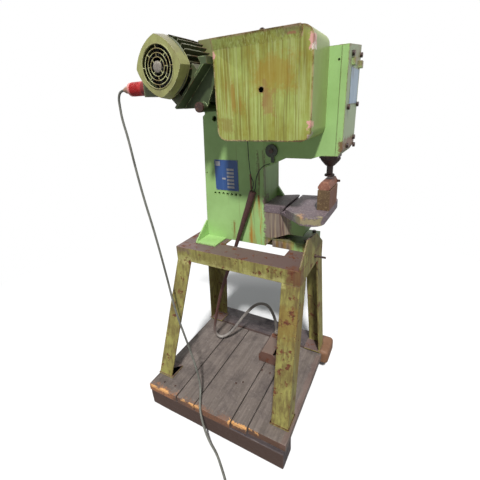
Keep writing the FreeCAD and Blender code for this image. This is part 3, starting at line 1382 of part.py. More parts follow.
CAM_NEAR = "(frame_near - cam_gap - cam_wall)"
cam_disc = rod("cam_disc", "cam_radius", "cam_wall", ("cam_x", CAM_NEAR, "cam_z"), "y")
cam_arm = box("cam_arm_bar", ("cam_arm_width", "cam_arm_wall", "cam_arm"),
              ("cam_x - cam_arm_back", CAM_NEAR, "cam_z - cam_arm - cam_bolt"))
cam_bore = rod("cam_bore", "cam_bolt + fit_gap", "cam_wall", ("cam_x", CAM_NEAR, "cam_z"), "y")
node(cut("trip_cam", fuse("cam_blank", cam_disc, cam_arm), cam_bore))
HEAD_AT = ("cam_x", CAM_NEAR + " - cam_pin_head", "cam_z")
cam_stem = rod("cam_stem", "cam_bolt", "cam_pin_head + cam_wall + cam_gap + plate_wall", HEAD_AT, "y")
cam_head = rod("cam_head", "cam_bolt + bolt_head_lap", "cam_pin_head - cam_head_gap", HEAD_AT, "y")
node(group("pivot_pins", rocker_pin, fuse("cam_pin", cam_stem, cam_head)))

sheath_top = spot("84", "-5", "table_height + sheath_rise")
sheath_low = spot("-20", "-20", STAND_TOP + " - sheath_drop")
sheath_axis = sheath_low - sheath_top
sheath_way = Vector(sheath_axis).normalize()
node(feature("cable_sheath", Part.makeCone(number("sheath_top_radius"), number("sheath_low_radius"),
                                           sheath_axis.Length, sheath_top, sheath_axis)))

upper_entry = sheath_top + Vector(-7, 0, 7 * sheath_axis.x / sheath_axis.z)
lower_entry = sheath_top + Vector(6, 0, -6 * sheath_axis.x / sheath_axis.z)
UPPER_WIRE = [spot("wire_x", "wire_y", "1500"), spot("wire_x", "wire_y + 1", "1440"),
              Vector(68, -6, 1370), Vector(74, -5, 1296), upper_entry - sheath_way * 40, upper_entry]
LOWER_WIRE = [Vector(176, -6, 1352), Vector(146, -7, 1344), Vector(116, -6, 1314), Vector(102, -5, 1276),
              lower_entry - sheath_way * 26, lower_entry]
wires = []
for name, points in (("upper", UPPER_WIRE), ("lower", LOWER_WIRE)):
    shape, tightest = pipe(points, number("wire_radius"))
    wires.append(feature("trip_wire_" + name, shape))
node(group("trip_wires", *wires))

HOSE_POINTS = [sheath_low, sheath_low + sheath_way * 105, Vector(-106, -12, 690), Vector(-158, 4, 560),
               Vector(-200, 20, 430), Vector(-236, 34, 312), Vector(-258, 44, 222), Vector(-228, 60, 166),
               Vector(-166, 84, 200), Vector(-112, 112, 286), Vector(-58, 142, 372), Vector(0, 172, 436),
               Vector(62, 192, 434), Vector(100, 194, 376), Vector(122, 190, 310), Vector(130, 180, 246)]
hose_shape, hose_tightest = pipe(HOSE_POINTS, number("hose_radius"))
node(feature("hose", hose_shape))
print("hose tightest arc radius", round(hose_tightest, 1))

# ---------------------------------------------------------------- foot switch

PEDAL_FAR = "(pedal_y + pedal_width)"
HOUSE_TOP = BASE_TOP + " + pedal_height"
switch_blank = pad("switch_blank",
                   [("pedal_x", BASE_TOP), ("pedal_x + pedal_length", BASE_TOP),
                    ("pedal_x + pedal_length", BASE_TOP + " + pedal_toe"),
                    ("pedal_x + pedal_length * 0.55", HOUSE_TOP), ("pedal_x + pedal_brow", HOUSE_TOP),
                    ("pedal_x", BASE_TOP + " + pedal_height * 0.55")],
                   "pedal_width", ("0", "pedal_y", "0"))
switch_inside = box("switch_inside",
                    ("pedal_length", "pedal_width - 2 * pedal_wall", "pedal_height - 2 * pedal_wall"),
                    ("pedal_x + pedal_back_wall", "pedal_y + pedal_wall", BASE_TOP + " + pedal_wall"))
switch_shell = cut("switch_shell", switch_blank, switch_inside)
PEDAL_X = "pedal_x + pedal_pin_x"
PEDAL_Z = BASE_TOP + " + pedal_pin_rise"
pedal_pin = rod("pedal_pin", "pedal_pin_radius", "pedal_width - pedal_wall",
                (PEDAL_X, "pedal_y + pedal_wall / 2", PEDAL_Z), "y")
UNION_X = "pedal_x + hose_in_x"
UNION_Y = "%s - hose_in_y" % PEDAL_FAR
hose_union = rod("hose_union", "hose_radius + hose_union_wall", "hose_union_height",
                 (UNION_X, UNION_Y, HOUSE_TOP + " - hose_union_lap"))
hose_union_bore = rod("hose_union_bore", "hose_radius + hose_gap", "hose_union_height",
                      (UNION_X, UNION_Y, HOUSE_TOP + " + hose_union_floor"))
node(cut("foot_switch", fuse("foot_switch_blank", switch_shell, pedal_pin, hose_union), hose_union_bore))

PEDAL_SPAN = "pedal_width - 2 * (pedal_wall + pedal_side_gap)"
PEDAL_NEAR = "pedal_y + pedal_wall + pedal_side_gap"
PEDAL_TIP = "pedal_x + pedal_length - pedal_tip_gap"
pedal_plate = pad("pedal_plate",
                  [(PEDAL_X, PEDAL_Z + " - pedal_heel"), (PEDAL_X + " + 12", PEDAL_Z + " + 6"),
                   (PEDAL_TIP, PEDAL_Z + " + 2"), (PEDAL_TIP, PEDAL_Z + " - pedal_pin_radius")],
                  PEDAL_SPAN, ("0", PEDAL_NEAR, "0"))
pedal_hub = rod("pedal_hub", "pedal_pin_radius + 5", PEDAL_SPAN, (PEDAL_X, PEDAL_NEAR, PEDAL_Z), "y")
pedal_bore = rod("pedal_bore", "pedal_pin_radius + fit_gap", PEDAL_SPAN, (PEDAL_X, PEDAL_NEAR, PEDAL_Z), "y")
node(cut("foot_pedal", fuse("pedal_blank", pedal_plate, pedal_hub), pedal_bore))

spring_floor = Vector(number("spring_x"), number("pedal_y + pedal_width / 2"),
                      number(BASE_TOP + " + pedal_wall + spring_wire"))
spring_edges, spring_top = helix_edges(spring_floor, Vector(1, 0, 0), Vector(0, 1, 0), number("spring_radius"),
                                       number("spring_height / spring_turns"), SIZES["spring_turns"])
node(feature("pedal_spring", tube_on(spring_edges, number("spring_wire"))))
print("spring least gap", round(number("spring_height / spring_turns - 2 * spring_wire"), 2))

# ---------------------------------------------------------------- plates, bolts and eye

node(box("nameplate", ("nameplate_width", "plate_thickness", "nameplate_height"),
         ("nameplate_x", "frame_near - plate_thickness", "nameplate_z")))
node(box("label_plate", ("plate_thickness", "label_width", "label_height"),
         (HEAD_FRONT, "label_near", "label_low")))

HEAD_BOLTS = [("front_plate_near + 37", "label_low - 11"), ("front_plate_far - 14", "label_low - 4"),
              ("front_plate_near + 76", "head_bottom + 36"), ("front_plate_far - 20", "head_bottom + 21"),
              ("front_plate_far - 37", "head_bottom + 57"), ("front_plate_near + 59", FRAME_TOP + " - 25"),
              ("front_plate_far - 16", FRAME_TOP + " - 15")]
BOLT_HEAD = "bolt_radius + bolt_head_lap"
heads = [rod("head_bolt_%d" % (index + 1), BOLT_HEAD, "bolt_head_height", (HEAD_FRONT, across, up), "x")
         for index, (across, up) in enumerate(HEAD_BOLTS)]
node(group("head_bolts", *heads))

studs = []
for start, across in (("back", "foot_block_start + foot_bolt_back"), ("front", "foot_block_end - foot_bolt_inset")):
    for side, deep in (("near", "frame_near + foot_bolt_inset"), ("far", FRAME_FAR + " - foot_bolt_inset")):
        studs.append(rod("stand_bolt_%s_%s" % (start, side), BOLT_HEAD, "bolt_head_height",
                         (across, deep, STAND_TOP + " + foot_block_height")))
side_at = (STAND_RIGHT, "side_rod_y", STAND_TOP + " - side_rod_drop")
side_bar = rod("side_bar", "side_rod_radius", "side_rod_length", side_at, "x")
side_nut = rod("side_nut", "side_rod_radius + bolt_head_lap", "bolt_head_height", side_at, "x")
studs.append(fuse("side_rod", side_bar, side_nut))
node(group("stand_bolts", *studs))

# A small eye on the guard's top, to lift the guard off by.
eye_ring = doc.addObject("Part::Torus", "eye_ring")
eye_ring.setExpression("Radius1", link("eye_radius"))
eye_ring.setExpression("Radius2", link("eye_wire"))
place(eye_ring, ("eye_x", "eye_y", "guard_high + eye_radius + eye_wire + 2"), TO_Y)
eye_foot = rod("eye_foot", "eye_wire + 3", "5", ("eye_x", "eye_y", "guard_high"))
node(fuse("eye_bolt", eye_ring, eye_foot))

# ---------------------------------------------------------------- plug, mains lead and coil

INLET_FACE = BOX_RIGHT + " - box_length"
node(rod("plug_inlet", "inlet_radius", "inlet_length", (INLET_FACE + " - inlet_length", "plug_y", "plug_z"), "x"))
PLUG_FACE = INLET_FACE + " - inlet_length"
plug_outline = [("0", "0"), ("plug_tail_radius - 3", "0"), ("plug_tail_radius", "6"),
                ("plug_tail_radius", "plug_tail_length"), ("plug_radius - 5", "plug_tail_length + 4"),
                ("plug_radius", "plug_tail_length + 14"), ("plug_radius", "plug_tail_length + plug_length"),
                ("0", "plug_tail_length + plug_length")]
plug_tail = "(" + PLUG_FACE + " - plug_tail_length - plug_length)"
node(turn("mains_plug", plug_outline, (plug_tail, "plug_y", "plug_z"), "x"))
plug_end = Vector(number(plug_tail), number("plug_y"), number("plug_z"))

FLOOR = number("cable_radius")
LEAD_POINTS = [plug_end, plug_end + Vector(-30, 0, 0), plug_end + Vector(-51, -1, -28),
               plug_end + Vector(-49, -4, -72),
               Vector(-496, -201, 1565), Vector(-468, -210, 1480), Vector(-438, -224, 1345),
               Vector(-398, -240, 1195),
               Vector(-352, -254, 1050), Vector(-312, -269, 905), Vector(-281, -280, 770), Vector(-247, -296, 625),
               Vector(-190, -310, 480), Vector(-139, -322, 345), Vector(-106, -334, 232), Vector(-88, -360, 178),
               Vector(-62, -408, 172), Vector(-38, -438, 142), Vector(-19, -450, 92), Vector(2, -460, 46),
               Vector(34, -474, 14), Vector(84, -496, FLOOR), Vector(134, -535, FLOOR), Vector(192, -585, FLOOR),
               Vector(248, -640, FLOOR)]
lead_shape, lead_tightest = pipe(LEAD_POINTS, number("cable_radius"))
node(feature("mains_cable", lead_shape))
print("cable tightest arc radius", round(lead_tightest, 1))


coil_radius = number("coil_radius")
coil_step = number("coil_pitch")
heading = (LEAD_POINTS[-1] - LEAD_POINTS[-2]).normalize()
inward = Vector(heading.y, -heading.x, 0)
coil_centre = LEAD_POINTS[-1] + inward * coil_radius


coil_edges, coil_end = helix_edges(coil_centre, inward, heading, coil_radius, coil_step, SIZES["coil_turns"])
tail_end = coil_end + heading * number("coil_tail")
coil_edges.append(Part.LineSegment(coil_end, tail_end).toShape())
node(feature("cable_coil", tube_on(coil_edges, number("cable_radius"))))
print("coil least gap", round(coil_step - 2 * number("cable_radius"), 2))

# The plug at the lead's end rests on its collar.
gland_length, shell_length = number("plug_tail_length"), number("plug_length - far_collar_length")
shell_start = tail_end + heading * gland_length
collar_start = shell_start + heading * shell_length
gland = Part.makeCylinder(number("plug_tail_radius"), gland_length, tail_end, heading)
shell = Part.makeCylinder(number("plug_radius - 3"), shell_length, shell_start, heading)
collar = Part.makeCylinder(tail_end.z, number("far_collar_length"), collar_start, heading)
node(feature("far_plug", gland.fuse([shell, collar]).removeSplitter()))

# ---------------------------------------------------------------- write out

doc.recompute()
faults = [item.Label for item in doc.Objects if {"Invalid", "Error"} & set(item.State)]
if faults:
    raise SystemExit("objects in error: " + ", ".join(faults))
for item in NODES:
    if item.Shape.isNull() or not item.Shape.isValid():
        raise SystemExit("bad shape: " + item.Label)
for item in NODES:
    item.Shape.exportStep("parts/%s.step" % item.Label)
print(len(NODES), "pieces written")
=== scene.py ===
import math

import bpy
from mathutils import Matrix, Vector


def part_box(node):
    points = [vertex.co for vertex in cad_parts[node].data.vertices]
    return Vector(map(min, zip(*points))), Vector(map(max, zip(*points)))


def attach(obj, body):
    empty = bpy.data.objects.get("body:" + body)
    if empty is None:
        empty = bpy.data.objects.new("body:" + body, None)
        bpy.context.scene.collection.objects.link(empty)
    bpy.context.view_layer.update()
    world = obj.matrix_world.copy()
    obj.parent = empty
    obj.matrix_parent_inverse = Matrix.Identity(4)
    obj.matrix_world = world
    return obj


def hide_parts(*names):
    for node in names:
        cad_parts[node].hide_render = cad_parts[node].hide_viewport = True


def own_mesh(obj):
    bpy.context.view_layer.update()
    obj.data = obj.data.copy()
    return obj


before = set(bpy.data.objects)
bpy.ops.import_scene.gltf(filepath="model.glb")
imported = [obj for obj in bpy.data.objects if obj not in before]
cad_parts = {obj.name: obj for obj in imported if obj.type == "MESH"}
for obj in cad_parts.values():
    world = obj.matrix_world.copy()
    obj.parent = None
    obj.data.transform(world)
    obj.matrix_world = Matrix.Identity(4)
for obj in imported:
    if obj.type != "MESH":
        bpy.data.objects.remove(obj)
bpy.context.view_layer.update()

# ---------------------------------------------------------------- studio
# A pale floor, even air, one lamp high over the guard's side, as the sun stood, and a weak one behind.
# The camera stands where the picture was taken from, at eye height off the near right corner.


def put(tree, kind, sockets=None, **settings):
    """Add a shader node; a socket takes a plain value or another node's output."""
    node = tree.nodes.new("ShaderNode" + kind)
    for setting, value in settings.items():
        setattr(node, setting, value)
    for socket, value in (sockets or {}).items():
        if isinstance(value, bpy.types.NodeSocket):
            tree.links.new(value, node.inputs[socket])
        else:
            node.inputs[socket].default_value = value
    return node


def math_of(tree, operation, first, second, third=0.0):
    """Work out one value from two or three."""
    return put(tree, "Math", {0: first, 1: second, 2: third}, operation=operation).outputs[0]


scene = bpy.context.scene
scene.view_settings.view_transform = "Standard"

air = bpy.data.worlds.new("studio_air")
air.use_nodes = True
air.node_tree.nodes.clear()
scene.world = air
ray = put(air.node_tree, "LightPath").outputs
mirrored = math_of(air.node_tree, "MAXIMUM", ray["Is Glossy Ray"], ray["Is Transmission Ray"])
seen = math_of(air.node_tree, "MAXIMUM", ray["Is Camera Ray"], mirrored)
soft_air = put(air.node_tree, "Background", {"Color": (0.93, 0.97, 1.0, 1.0), "Strength": 0.15})
white_air = put(air.node_tree, "Background", {"Color": (1.0, 1.0, 1.0, 1.0), "Strength": 1.0})
both_airs = put(air.node_tree, "MixShader", {0: seen, 1: soft_air.outputs[0], 2: white_air.outputs[0]})
put(air.node_tree, "OutputWorld", {"Surface": both_airs.outputs[0]})

# Each lamp has the way its light travels, its strength and its spread.
LAMPS = {"high_lamp": ((-0.247, 0.53, -0.81), 4.1, 0.09), "rear_lamp": ((0.75, -0.5, -0.42), 0.45, 0.9)}
for name, (way, strength, spread) in LAMPS.items():
    lamp = bpy.data.lights.new(name, "SUN")
    lamp.energy = strength
    lamp.angle = spread
    holder = bpy.data.objects.new(name, lamp)
    holder.rotation_euler = Vector(way).to_track_quat("-Z", "Y").to_euler()
    scene.collection.objects.link(holder)

FLOOR_SIDE, UNDER_OBJECT = 16, 0.0004
bpy.ops.object.select_all(action="DESELECT")
bpy.ops.mesh.primitive_plane_add(size=FLOOR_SIDE, location=(0, 0, -UNDER_OBJECT))
floor = bpy.context.object
floor.name = "studio_floor"
pale = bpy.data.materials.new("pale_floor")
pale.use_nodes = True
pale.node_tree.nodes.clear()
place = put(pale.node_tree, "TexCoord").outputs["Object"]
reach = put(pale.node_tree, "VectorMath", {0: place}, operation="LENGTH").outputs["Value"]
# From here outwards the floor fades into the white behind it.
FADE_FROM, FADE_TO = 1.0, 2.8
far = put(pale.node_tree, "MapRange", {"Value": reach, "From Min": FADE_FROM, "From Max": FADE_TO}).outputs[0]
ray = put(pale.node_tree, "LightPath").outputs
far_seen = math_of(pale.node_tree, "MULTIPLY", far, ray["Is Camera Ray"])
# To the eye the floor is pale; it throws back less light than that, so that the shadows keep their depth.
PALE, BOUNCE = 0.90, 0.28
shade = math_of(pale.node_tree, "MULTIPLY_ADD", ray["Is Camera Ray"], PALE - BOUNCE, BOUNCE)
grey = put(pale.node_tree, "CombineColor", {0: shade, 1: shade, 2: shade}).outputs[0]
matt = put(pale.node_tree, "BsdfPrincipled", {"Base Color": grey, "Roughness": 0.9})
glow = put(pale.node_tree, "Emission", {"Color": (1.0, 1.0, 1.0, 1.0), "Strength": 1.0})
both_floors = put(pale.node_tree, "MixShader", {0: far_seen, 1: matt.outputs[0], 2: glow.outputs[0]})
put(pale.node_tree, "OutputMaterial", {"Surface": both_floors.outputs[0]})
floor.data.materials.append(pale)

lens = bpy.data.cameras.new("eye_height")
lens.lens = 23.07
lens.shift_y = -0.025
lens.clip_end = 60
camera = bpy.data.objects.new("eye_height", lens)
camera.matrix_world = Matrix(((0.878198, -0.138428, 0.457828, 0.7305),
                              (0.476103, 0.344583, -0.809066, -1.290),
                              (-0.045762, 0.928494, 0.368518, 1.600),
                              (0, 0, 0, 1)))
scene.collection.objects.link(camera)
scene.camera = camera

# ---------------------------------------------------------------- timber base
# Five old boards screwed down on bearers, with a dark, longer beam at the back whose end is worn round.
# The tops are grey with dirt, the near edges rubbed in places to bare yellow wood.


def colour(red, green, blue):
    """Linear colour of a paint sample in steps of 255."""
    return tuple((step / 255) ** 2.2 for step in (red, green, blue)) + (1.0,)


def effect(name, sockets, results):
    """Start a node group and return its tree, its input sockets and its output node."""
    tree = bpy.data.node_groups.new(name, "ShaderNodeTree")
    for socket, value in sockets.items():
        kind = "Vector" if isinstance(value, tuple) else "Float"
        added = tree.interface.new_socket(socket, in_out="INPUT", socket_type="NodeSocket" + kind)
        added.default_value = value
    for socket, kind in results.items():
        tree.interface.new_socket(socket, in_out="OUTPUT", socket_type="NodeSocket" + kind)
    return tree, tree.nodes.new("NodeGroupInput").outputs, tree.nodes.new("NodeGroupOutput").inputs


def use(tree, group, **sockets):
    """Place a node group, its inputs set by name."""
    return put(tree, "Group", sockets, node_tree=group).outputs


def step_up(tree, value, low, high):
    """Draw a value out, so that low becomes 0 and high becomes 1."""
    return put(tree, "MapRange", {"Value": value, "From Min": low, "From Max": high}).outputs[0]


def over(tree, mask, below, above):
    """Lay one colour over another where a mask is white; a colour is a socket or a paint sample."""
    below, above = (colour(*shade) if isinstance(shade, tuple) else shade for shade in (below, above))
    return put(tree, "Mix", {0: mask, 6: below, 7: above}, data_type="RGBA").outputs[2]


def stretched(tree, vector, scales):
    """Scale a place along each axis by itself."""
    return put(tree, "VectorMath", {0: vector, 1: scales}, operation="MULTIPLY").outputs[0]


def speckle(tree, vector, scale, detail=5.0, rough=0.6):
    """Cloudy noise from 0 to 1."""
    sockets = {"Vector": vector, "Scale": scale, "Detail": detail, "Roughness": rough}
    return put(tree, "TexNoise", sockets).outputs[0]


# Worn corners, on some finishes painted highlights: where the rounded normal and the true one differ, broken up
# by speckle.
worn_and_highlit_corners, given, result = effect("worn_and_highlit_corners", {"Radius": 0.004, "Grain": 70.0, "Amount": 0.5},
                                     {"Mask": "Float"})
rounded = put(worn_and_highlit_corners, "Bevel", {"Radius": given["Radius"]}, samples=4).outputs[0]
straight = put(worn_and_highlit_corners, "NewGeometry").outputs["Normal"]
alike = put(worn_and_highlit_corners, "VectorMath", {0: rounded, 1: straight}, operation="DOT_PRODUCT").outputs["Value"]
corner = step_up(worn_and_highlit_corners, alike, 0.995, 0.86)
grit = speckle(worn_and_highlit_corners, put(worn_and_highlit_corners, "TexCoord").outputs["Object"], given["Grain"], 6.0, 0.7)
sum_of = math_of(worn_and_highlit_corners, "MULTIPLY_ADD", corner, given["Amount"], grit)
worn_and_highlit_corners.links.new(step_up(worn_and_highlit_corners, sum_of, 0.74, 0.82), result["Mask"])

# Place mask: white inside a box given by its centre and half size, its edges wandering and gritty.
at_place, given, result = effect("at_place", {"Centre": (0.0, 0.0, 0.0), "Half": (1.0, 1.0, 1.0),
                                              "Soft": 0.02, "Ragged": 0.03, "Grit": 0.0},
                                 {"Mask": "Float"})
here = put(at_place, "TexCoord").outputs["Object"]
wander = put(at_place, "TexNoise", {"Vector": here, "Scale": 22.0, "Detail": 5.0}).outputs["Color"]
centred = put(at_place, "VectorMath", {0: wander, 1: (0.5, 0.5, 0.5)}, operation="SUBTRACT").outputs[0]
shifted = put(at_place, "VectorMath", {0: centred, "Scale": given["Ragged"]}, operation="SCALE").outputs[0]
moved = put(at_place, "VectorMath", {0: here, 1: shifted}, operation="ADD").outputs[0]
away = put(at_place, "VectorMath", {0: moved, 1: given["Centre"]}, operation="SUBTRACT").outputs[0]
size = put(at_place, "VectorMath", {0: away}, operation="ABSOLUTE").outputs[0]
past = put(at_place, "VectorMath", {0: size, 1: given["Half"]}, operation="SUBTRACT").outputs[0]
part = put(at_place, "SeparateXYZ", {0: past}).outputs
most = math_of(at_place, "MAXIMUM", math_of(at_place, "MAXIMUM", part[0], part[1]), part[2])
inside = math_of(at_place, "SUBTRACT", 1.0, math_of(at_place, "DIVIDE", most, given["Soft"]))
grit = math_of(at_place, "SUBTRACT", speckle(at_place, here, 110.0), 0.5)
inside = math_of(at_place, "MULTIPLY_ADD", grit, given["Grit"], inside)
at_place.links.new(step_up(at_place, inside, 0.0, 1.0), result["Mask"])

# Rain runs: narrow streaks that follow the fall of water down a face.
rain_runs, given, result = effect("rain_runs", {"Across": 70.0, "Down": 3.0, "Amount": 0.5},
                                  {"Mask": "Float"})
here = put(rain_runs, "TexCoord").outputs["Object"]
comb = put(rain_runs, "CombineXYZ", {0: given["Across"], 1: given["Across"], 2: given["Down"]}).outputs[0]
threshold = math_of(rain_runs, "MULTIPLY_ADD", given["Amount"], -0.25, 0.7)
combed = speckle(rain_runs, stretched(rain_runs, here, comb), 1.0, 4.0, 0.55)
drip = math_of(rain_runs, "SUBTRACT", combed, threshold)
rain_runs.links.new(step_up(rain_runs, drip, 0.0, 0.16), result["Mask"])

# Facing: white where a face looks the given way.
facing, given, result = effect("facing", {"Way": (0.0, 0.0, 1.0)}, {"Mask": "Float"})
normal = put(facing, "NewGeometry").outputs["Normal"]
alike = put(facing, "VectorMath", {0: normal, 1: given["Way"]}, operation="DOT_PRODUCT").outputs["Value"]
facing.links.new(step_up(facing, alike, 0.5, 0.95), result["Mask"])
UP, RIGHT, NEAR = (0.0, 0.0, 1.0), (1.0, 0.0, 0.0), (0.0, -1.0, 0.0)


def start_finish(name):
    """New material with one shader, and the place on the object that its patterns read."""
    material = bpy.data.materials.new(name)
    material.use_nodes = True
    tree = material.node_tree
    tree.nodes.clear()
    shader = put(tree, "BsdfPrincipled")
    put(tree, "OutputMaterial", {"Surface": shader.outputs[0]})
    return material, tree, shader, put(tree, "TexCoord").outputs["Object"]


def set_finish(tree, shader, base, rough, height, depth=0.0006, strength=0.5):
    """Join colour, roughness and relief to the shader."""
    relief = put(tree, "Bump", {"Height": height, "Distance": depth, "Strength": strength}).outputs[0]
    for socket, value in (("Base Color", base), ("Roughness", rough), ("Normal", relief)):
        tree.links.new(value, shader.inputs[socket])


def stained_and_shaded(tree, base, stains_and_shade):
    """Lay stains, and patches of painted shade, over a finish.

    Each has its centre, half size, edge (soft, ragged, grit), pitch of runs or 0 for none, amount and colour.
    """
    for centre, half, (soft, ragged, grit), runs, amount, shade in stains_and_shade:
        mask = use(tree, at_place, Centre=centre, Half=half, Soft=soft, Ragged=ragged, Grit=grit)["Mask"]
        if runs:
            wet = use(tree, rain_runs, Across=runs, Down=3.5, Amount=0.95)["Mask"]
            mask = math_of(tree, "MULTIPLY", mask, wet)
        base = over(tree, math_of(tree, "MULTIPLY", mask, amount), base, shade)
    return base


def faced(tree, base, faces):
    """Tint the faces that look each given way."""
    for way, amount, shade in faces:
        turned_there = use(tree, facing, Way=way)["Mask"]
        base = over(tree, math_of(tree, "MULTIPLY", turned_there, amount), base, shade)
    return base


def old_wood(name, light, dark, dirt, along, faces, stains_and_shade):
    """Weathered timber: fibres along the board, dirt, pale dust, browner ends and rubbed stains."""
    material, tree, shader, here = start_finish(name)
    drawn_out = stretched(tree, here, along)
    fibre = speckle(tree, drawn_out, 1.0, 6.0, 0.65)
    lines = step_up(tree, speckle(tree, drawn_out, 2.6, 3.0, 0.5), 0.56, 0.7)
    base = over(tree, step_up(tree, fibre, 0.3, 0.7), dark, light)
    base = over(tree, math_of(tree, "MULTIPLY", lines, 0.4), base, dark)
    soiled = step_up(tree, speckle(tree, here, 9.0, 8.0, 0.75), 0.46, 0.62)
    base = over(tree, math_of(tree, "MULTIPLY", soiled, 0.6), base, dirt)
    dust = step_up(tree, speckle(tree, here, 60.0, 7.0, 0.8), 0.56, 0.7)
    base = over(tree, math_of(tree, "MULTIPLY", dust, 0.5), base, (164, 154, 146))
    base = stained_and_shaded(tree, faced(tree, base, faces), stains_and_shade)
    height = math_of(tree, "MULTIPLY_ADD", lines, -0.5, fibre)
    set_finish(tree, shader, base, step_up(tree, soiled, -2.0, 1.4), height, 0.0016, 0.9)
    return material


def take(piece):
    """Make one piece the only one selected."""
    bpy.ops.object.select_all(action="DESELECT")
    piece.select_set(True)
    bpy.context.view_layer.objects.active = piece


def settle(piece):
    """Put place, turn and scale into the mesh."""
    take(piece)
    bpy.ops.object.transform_apply(location=True, rotation=True, scale=True)


# A corner that turns by more degrees than this is an edge.
CREASE = 32


def soften(piece, width, segments, sharp=CREASE):
    """Round the sharp edges."""
    edge = piece.modifiers.new("soften", "BEVEL")
    edge.width = width
    edge.segments = segments
    edge.limit_method = "ANGLE"
    edge.angle_limit = math.radians(sharp)
    edge.use_clamp_overlap = False
    edge.harden_normals = True
    take(piece)
    bpy.ops.object.shade_smooth_by_angle(angle=math.radians(sharp))
    bpy.ops.object.modifier_apply(modifier="soften")


def block(low, high, ease, segments=2):
    """Box between two corners with rounded edges."""
    low, high = Vector(low), Vector(high)
    bpy.ops.object.select_all(action="DESELECT")
    bpy.ops.mesh.primitive_cube_add(size=1, location=(low + high) / 2, scale=high - low)
    piece = bpy.context.object
    settle(piece)
    soften(piece, ease, segments)
    return piece


def turned(profile, base, way, sides, ease=0.0004):
    """Round piece: a disc drawn out from station to station, each a distance and a radius, set on its way."""
    start, radius = profile[0]
    bpy.ops.object.select_all(action="DESELECT")
    bpy.ops.mesh.primitive_circle_add(vertices=sides, radius=radius, fill_type="NGON", location=(0, 0, 0))
    piece = bpy.context.object
    bpy.ops.object.mode_set(mode="EDIT")
    bpy.ops.mesh.select_all(action="SELECT")
    for (below, old), (above, new) in zip(profile, profile[1:]):
        bpy.ops.mesh.extrude_region_move(TRANSFORM_OT_translate={"value": (0, 0, above - below)})
        bpy.ops.transform.resize(value=(new / old, new / old, 1))
    bpy.ops.mesh.select_all(action="SELECT")
    bpy.ops.mesh.normals_make_consistent(inside=False)
    bpy.ops.object.mode_set(mode="OBJECT")
    way = Vector(way).normalized()
    piece.matrix_world = (Matrix.Translation(Vector(base) + way * start) @
                          way.to_track_quat("Z", "Y").to_matrix().to_4x4())
    settle(piece)
    soften(piece, ease, 2)
    return piece


def joined(pieces):
    """Several like pieces in one mesh."""
    bpy.ops.object.select_all(action="DESELECT")
    for piece in pieces:
        piece.select_set(True)
    bpy.context.view_layer.objects.active = pieces[0]
    if len(pieces) > 1:
        bpy.ops.object.join()
    return pieces[0]


def seat(piece, name, material, body="press", stands_for=()):
    """Name a finished piece, give it its material and let it ride on its body."""
    piece.name = piece.data.name = name
    piece.data.materials.clear()
    piece.data.materials.append(material)
    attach(piece, body)
    if stands_for:
        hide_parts(*stands_for)
    return piece


# Points this near become one point, and faces that turn by less than this become one face.
SAME_POINT, SAME_FACE = 0.00002, math.radians(0.6)


def eased(node, material, width, body="press", segments=2, sharp=CREASE):
    """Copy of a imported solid, merged, with its edges rounded if it has a width, standing in for the solid."""
    piece = bpy.data.objects.new(node + "_eased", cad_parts[node].data.copy())
    scene.collection.objects.link(piece)
    take(piece)
    bpy.ops.mesh.customdata_custom_splitnormals_clear()
    bpy.ops.object.mode_set(mode="EDIT")
    bpy.ops.mesh.select_all(action="SELECT")
    bpy.ops.mesh.remove_doubles(threshold=SAME_POINT)
    bpy.ops.mesh.dissolve_limited(angle_limit=SAME_FACE)
    bpy.ops.object.mode_set(mode="OBJECT")
    if width:
        soften(piece, width, segments, sharp)
    else:
        bpy.ops.object.shade_smooth_by_angle(angle=math.radians(sharp))
    return seat(piece, node + "_eased", material, body, (node,))


def coat(node, material):
    """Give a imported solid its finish."""
    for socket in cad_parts[node].material_slots:
        socket.material = material


def dented(piece, cuts, depth):
    """Cut a timber's faces up and sink hollows in them."""
    take(piece)
    bpy.ops.object.mode_set(mode="EDIT")
    bpy.ops.mesh.select_all(action="SELECT")
    bpy.ops.mesh.subdivide(number_cuts=cuts)
    bpy.ops.object.mode_set(mode="OBJECT")
    dents = piece.modifiers.new("dents", "DISPLACE")
    dents.texture = hollows
    dents.texture_coords = "GLOBAL"
    dents.strength = depth
    dents.mid_level = 0.85
    bpy.ops.object.modifier_apply(modifier="dents")
    bpy.ops.object.shade_smooth_by_angle(angle=math.radians(30))
    return piece


hollows = bpy.data.textures.new("hollows", "CLOUDS")
hollows.noise_scale = 0.09
deck_low, deck_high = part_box("deck_planks")
SCUFF = (0.006, 0.05, 5.0)
RUBBED = (214, 158, 100)
deck_wood = old_wood("deck_wood", (124, 113, 106), (88, 79, 73), (78, 70, 68), along=(55.0, 3.5, 55.0),
                     faces=[(NEAR, 0.9, (92, 66, 52))], stains_and_shade=[
    ((-0.34, deck_low.y, 0.115), (0.10, 0.008, 0.030), (0.02, 0.10, 5.0), 0.0, 0.75, (160, 108, 74)),
    ((0.00, deck_low.y, 0.115), (0.14, 0.006, 0.030), (0.02, 0.10, 6.0), 0.0, 0.5, (138, 92, 64)),
    ((-0.330, deck_low.y, 0.147), (0.068, 0.005, 0.010), SCUFF, 0.0, 1.0, RUBBED),
    ((-0.12, deck_low.y, 0.147), (0.060, 0.003, 0.008), SCUFF, 0.0, 0.9, RUBBED),
    ((0.19, deck_low.y + 0.006, 0.147), (0.075, 0.012, 0.012), (0.006, 0.05, 7.0), 0.0, 1.0, RUBBED),
    ((0.40, -0.1, 0.150), (0.012, 0.3, 0.02), (0.01, 0.03, 2.0), 0.0, 0.4, (110, 84, 76)),
])
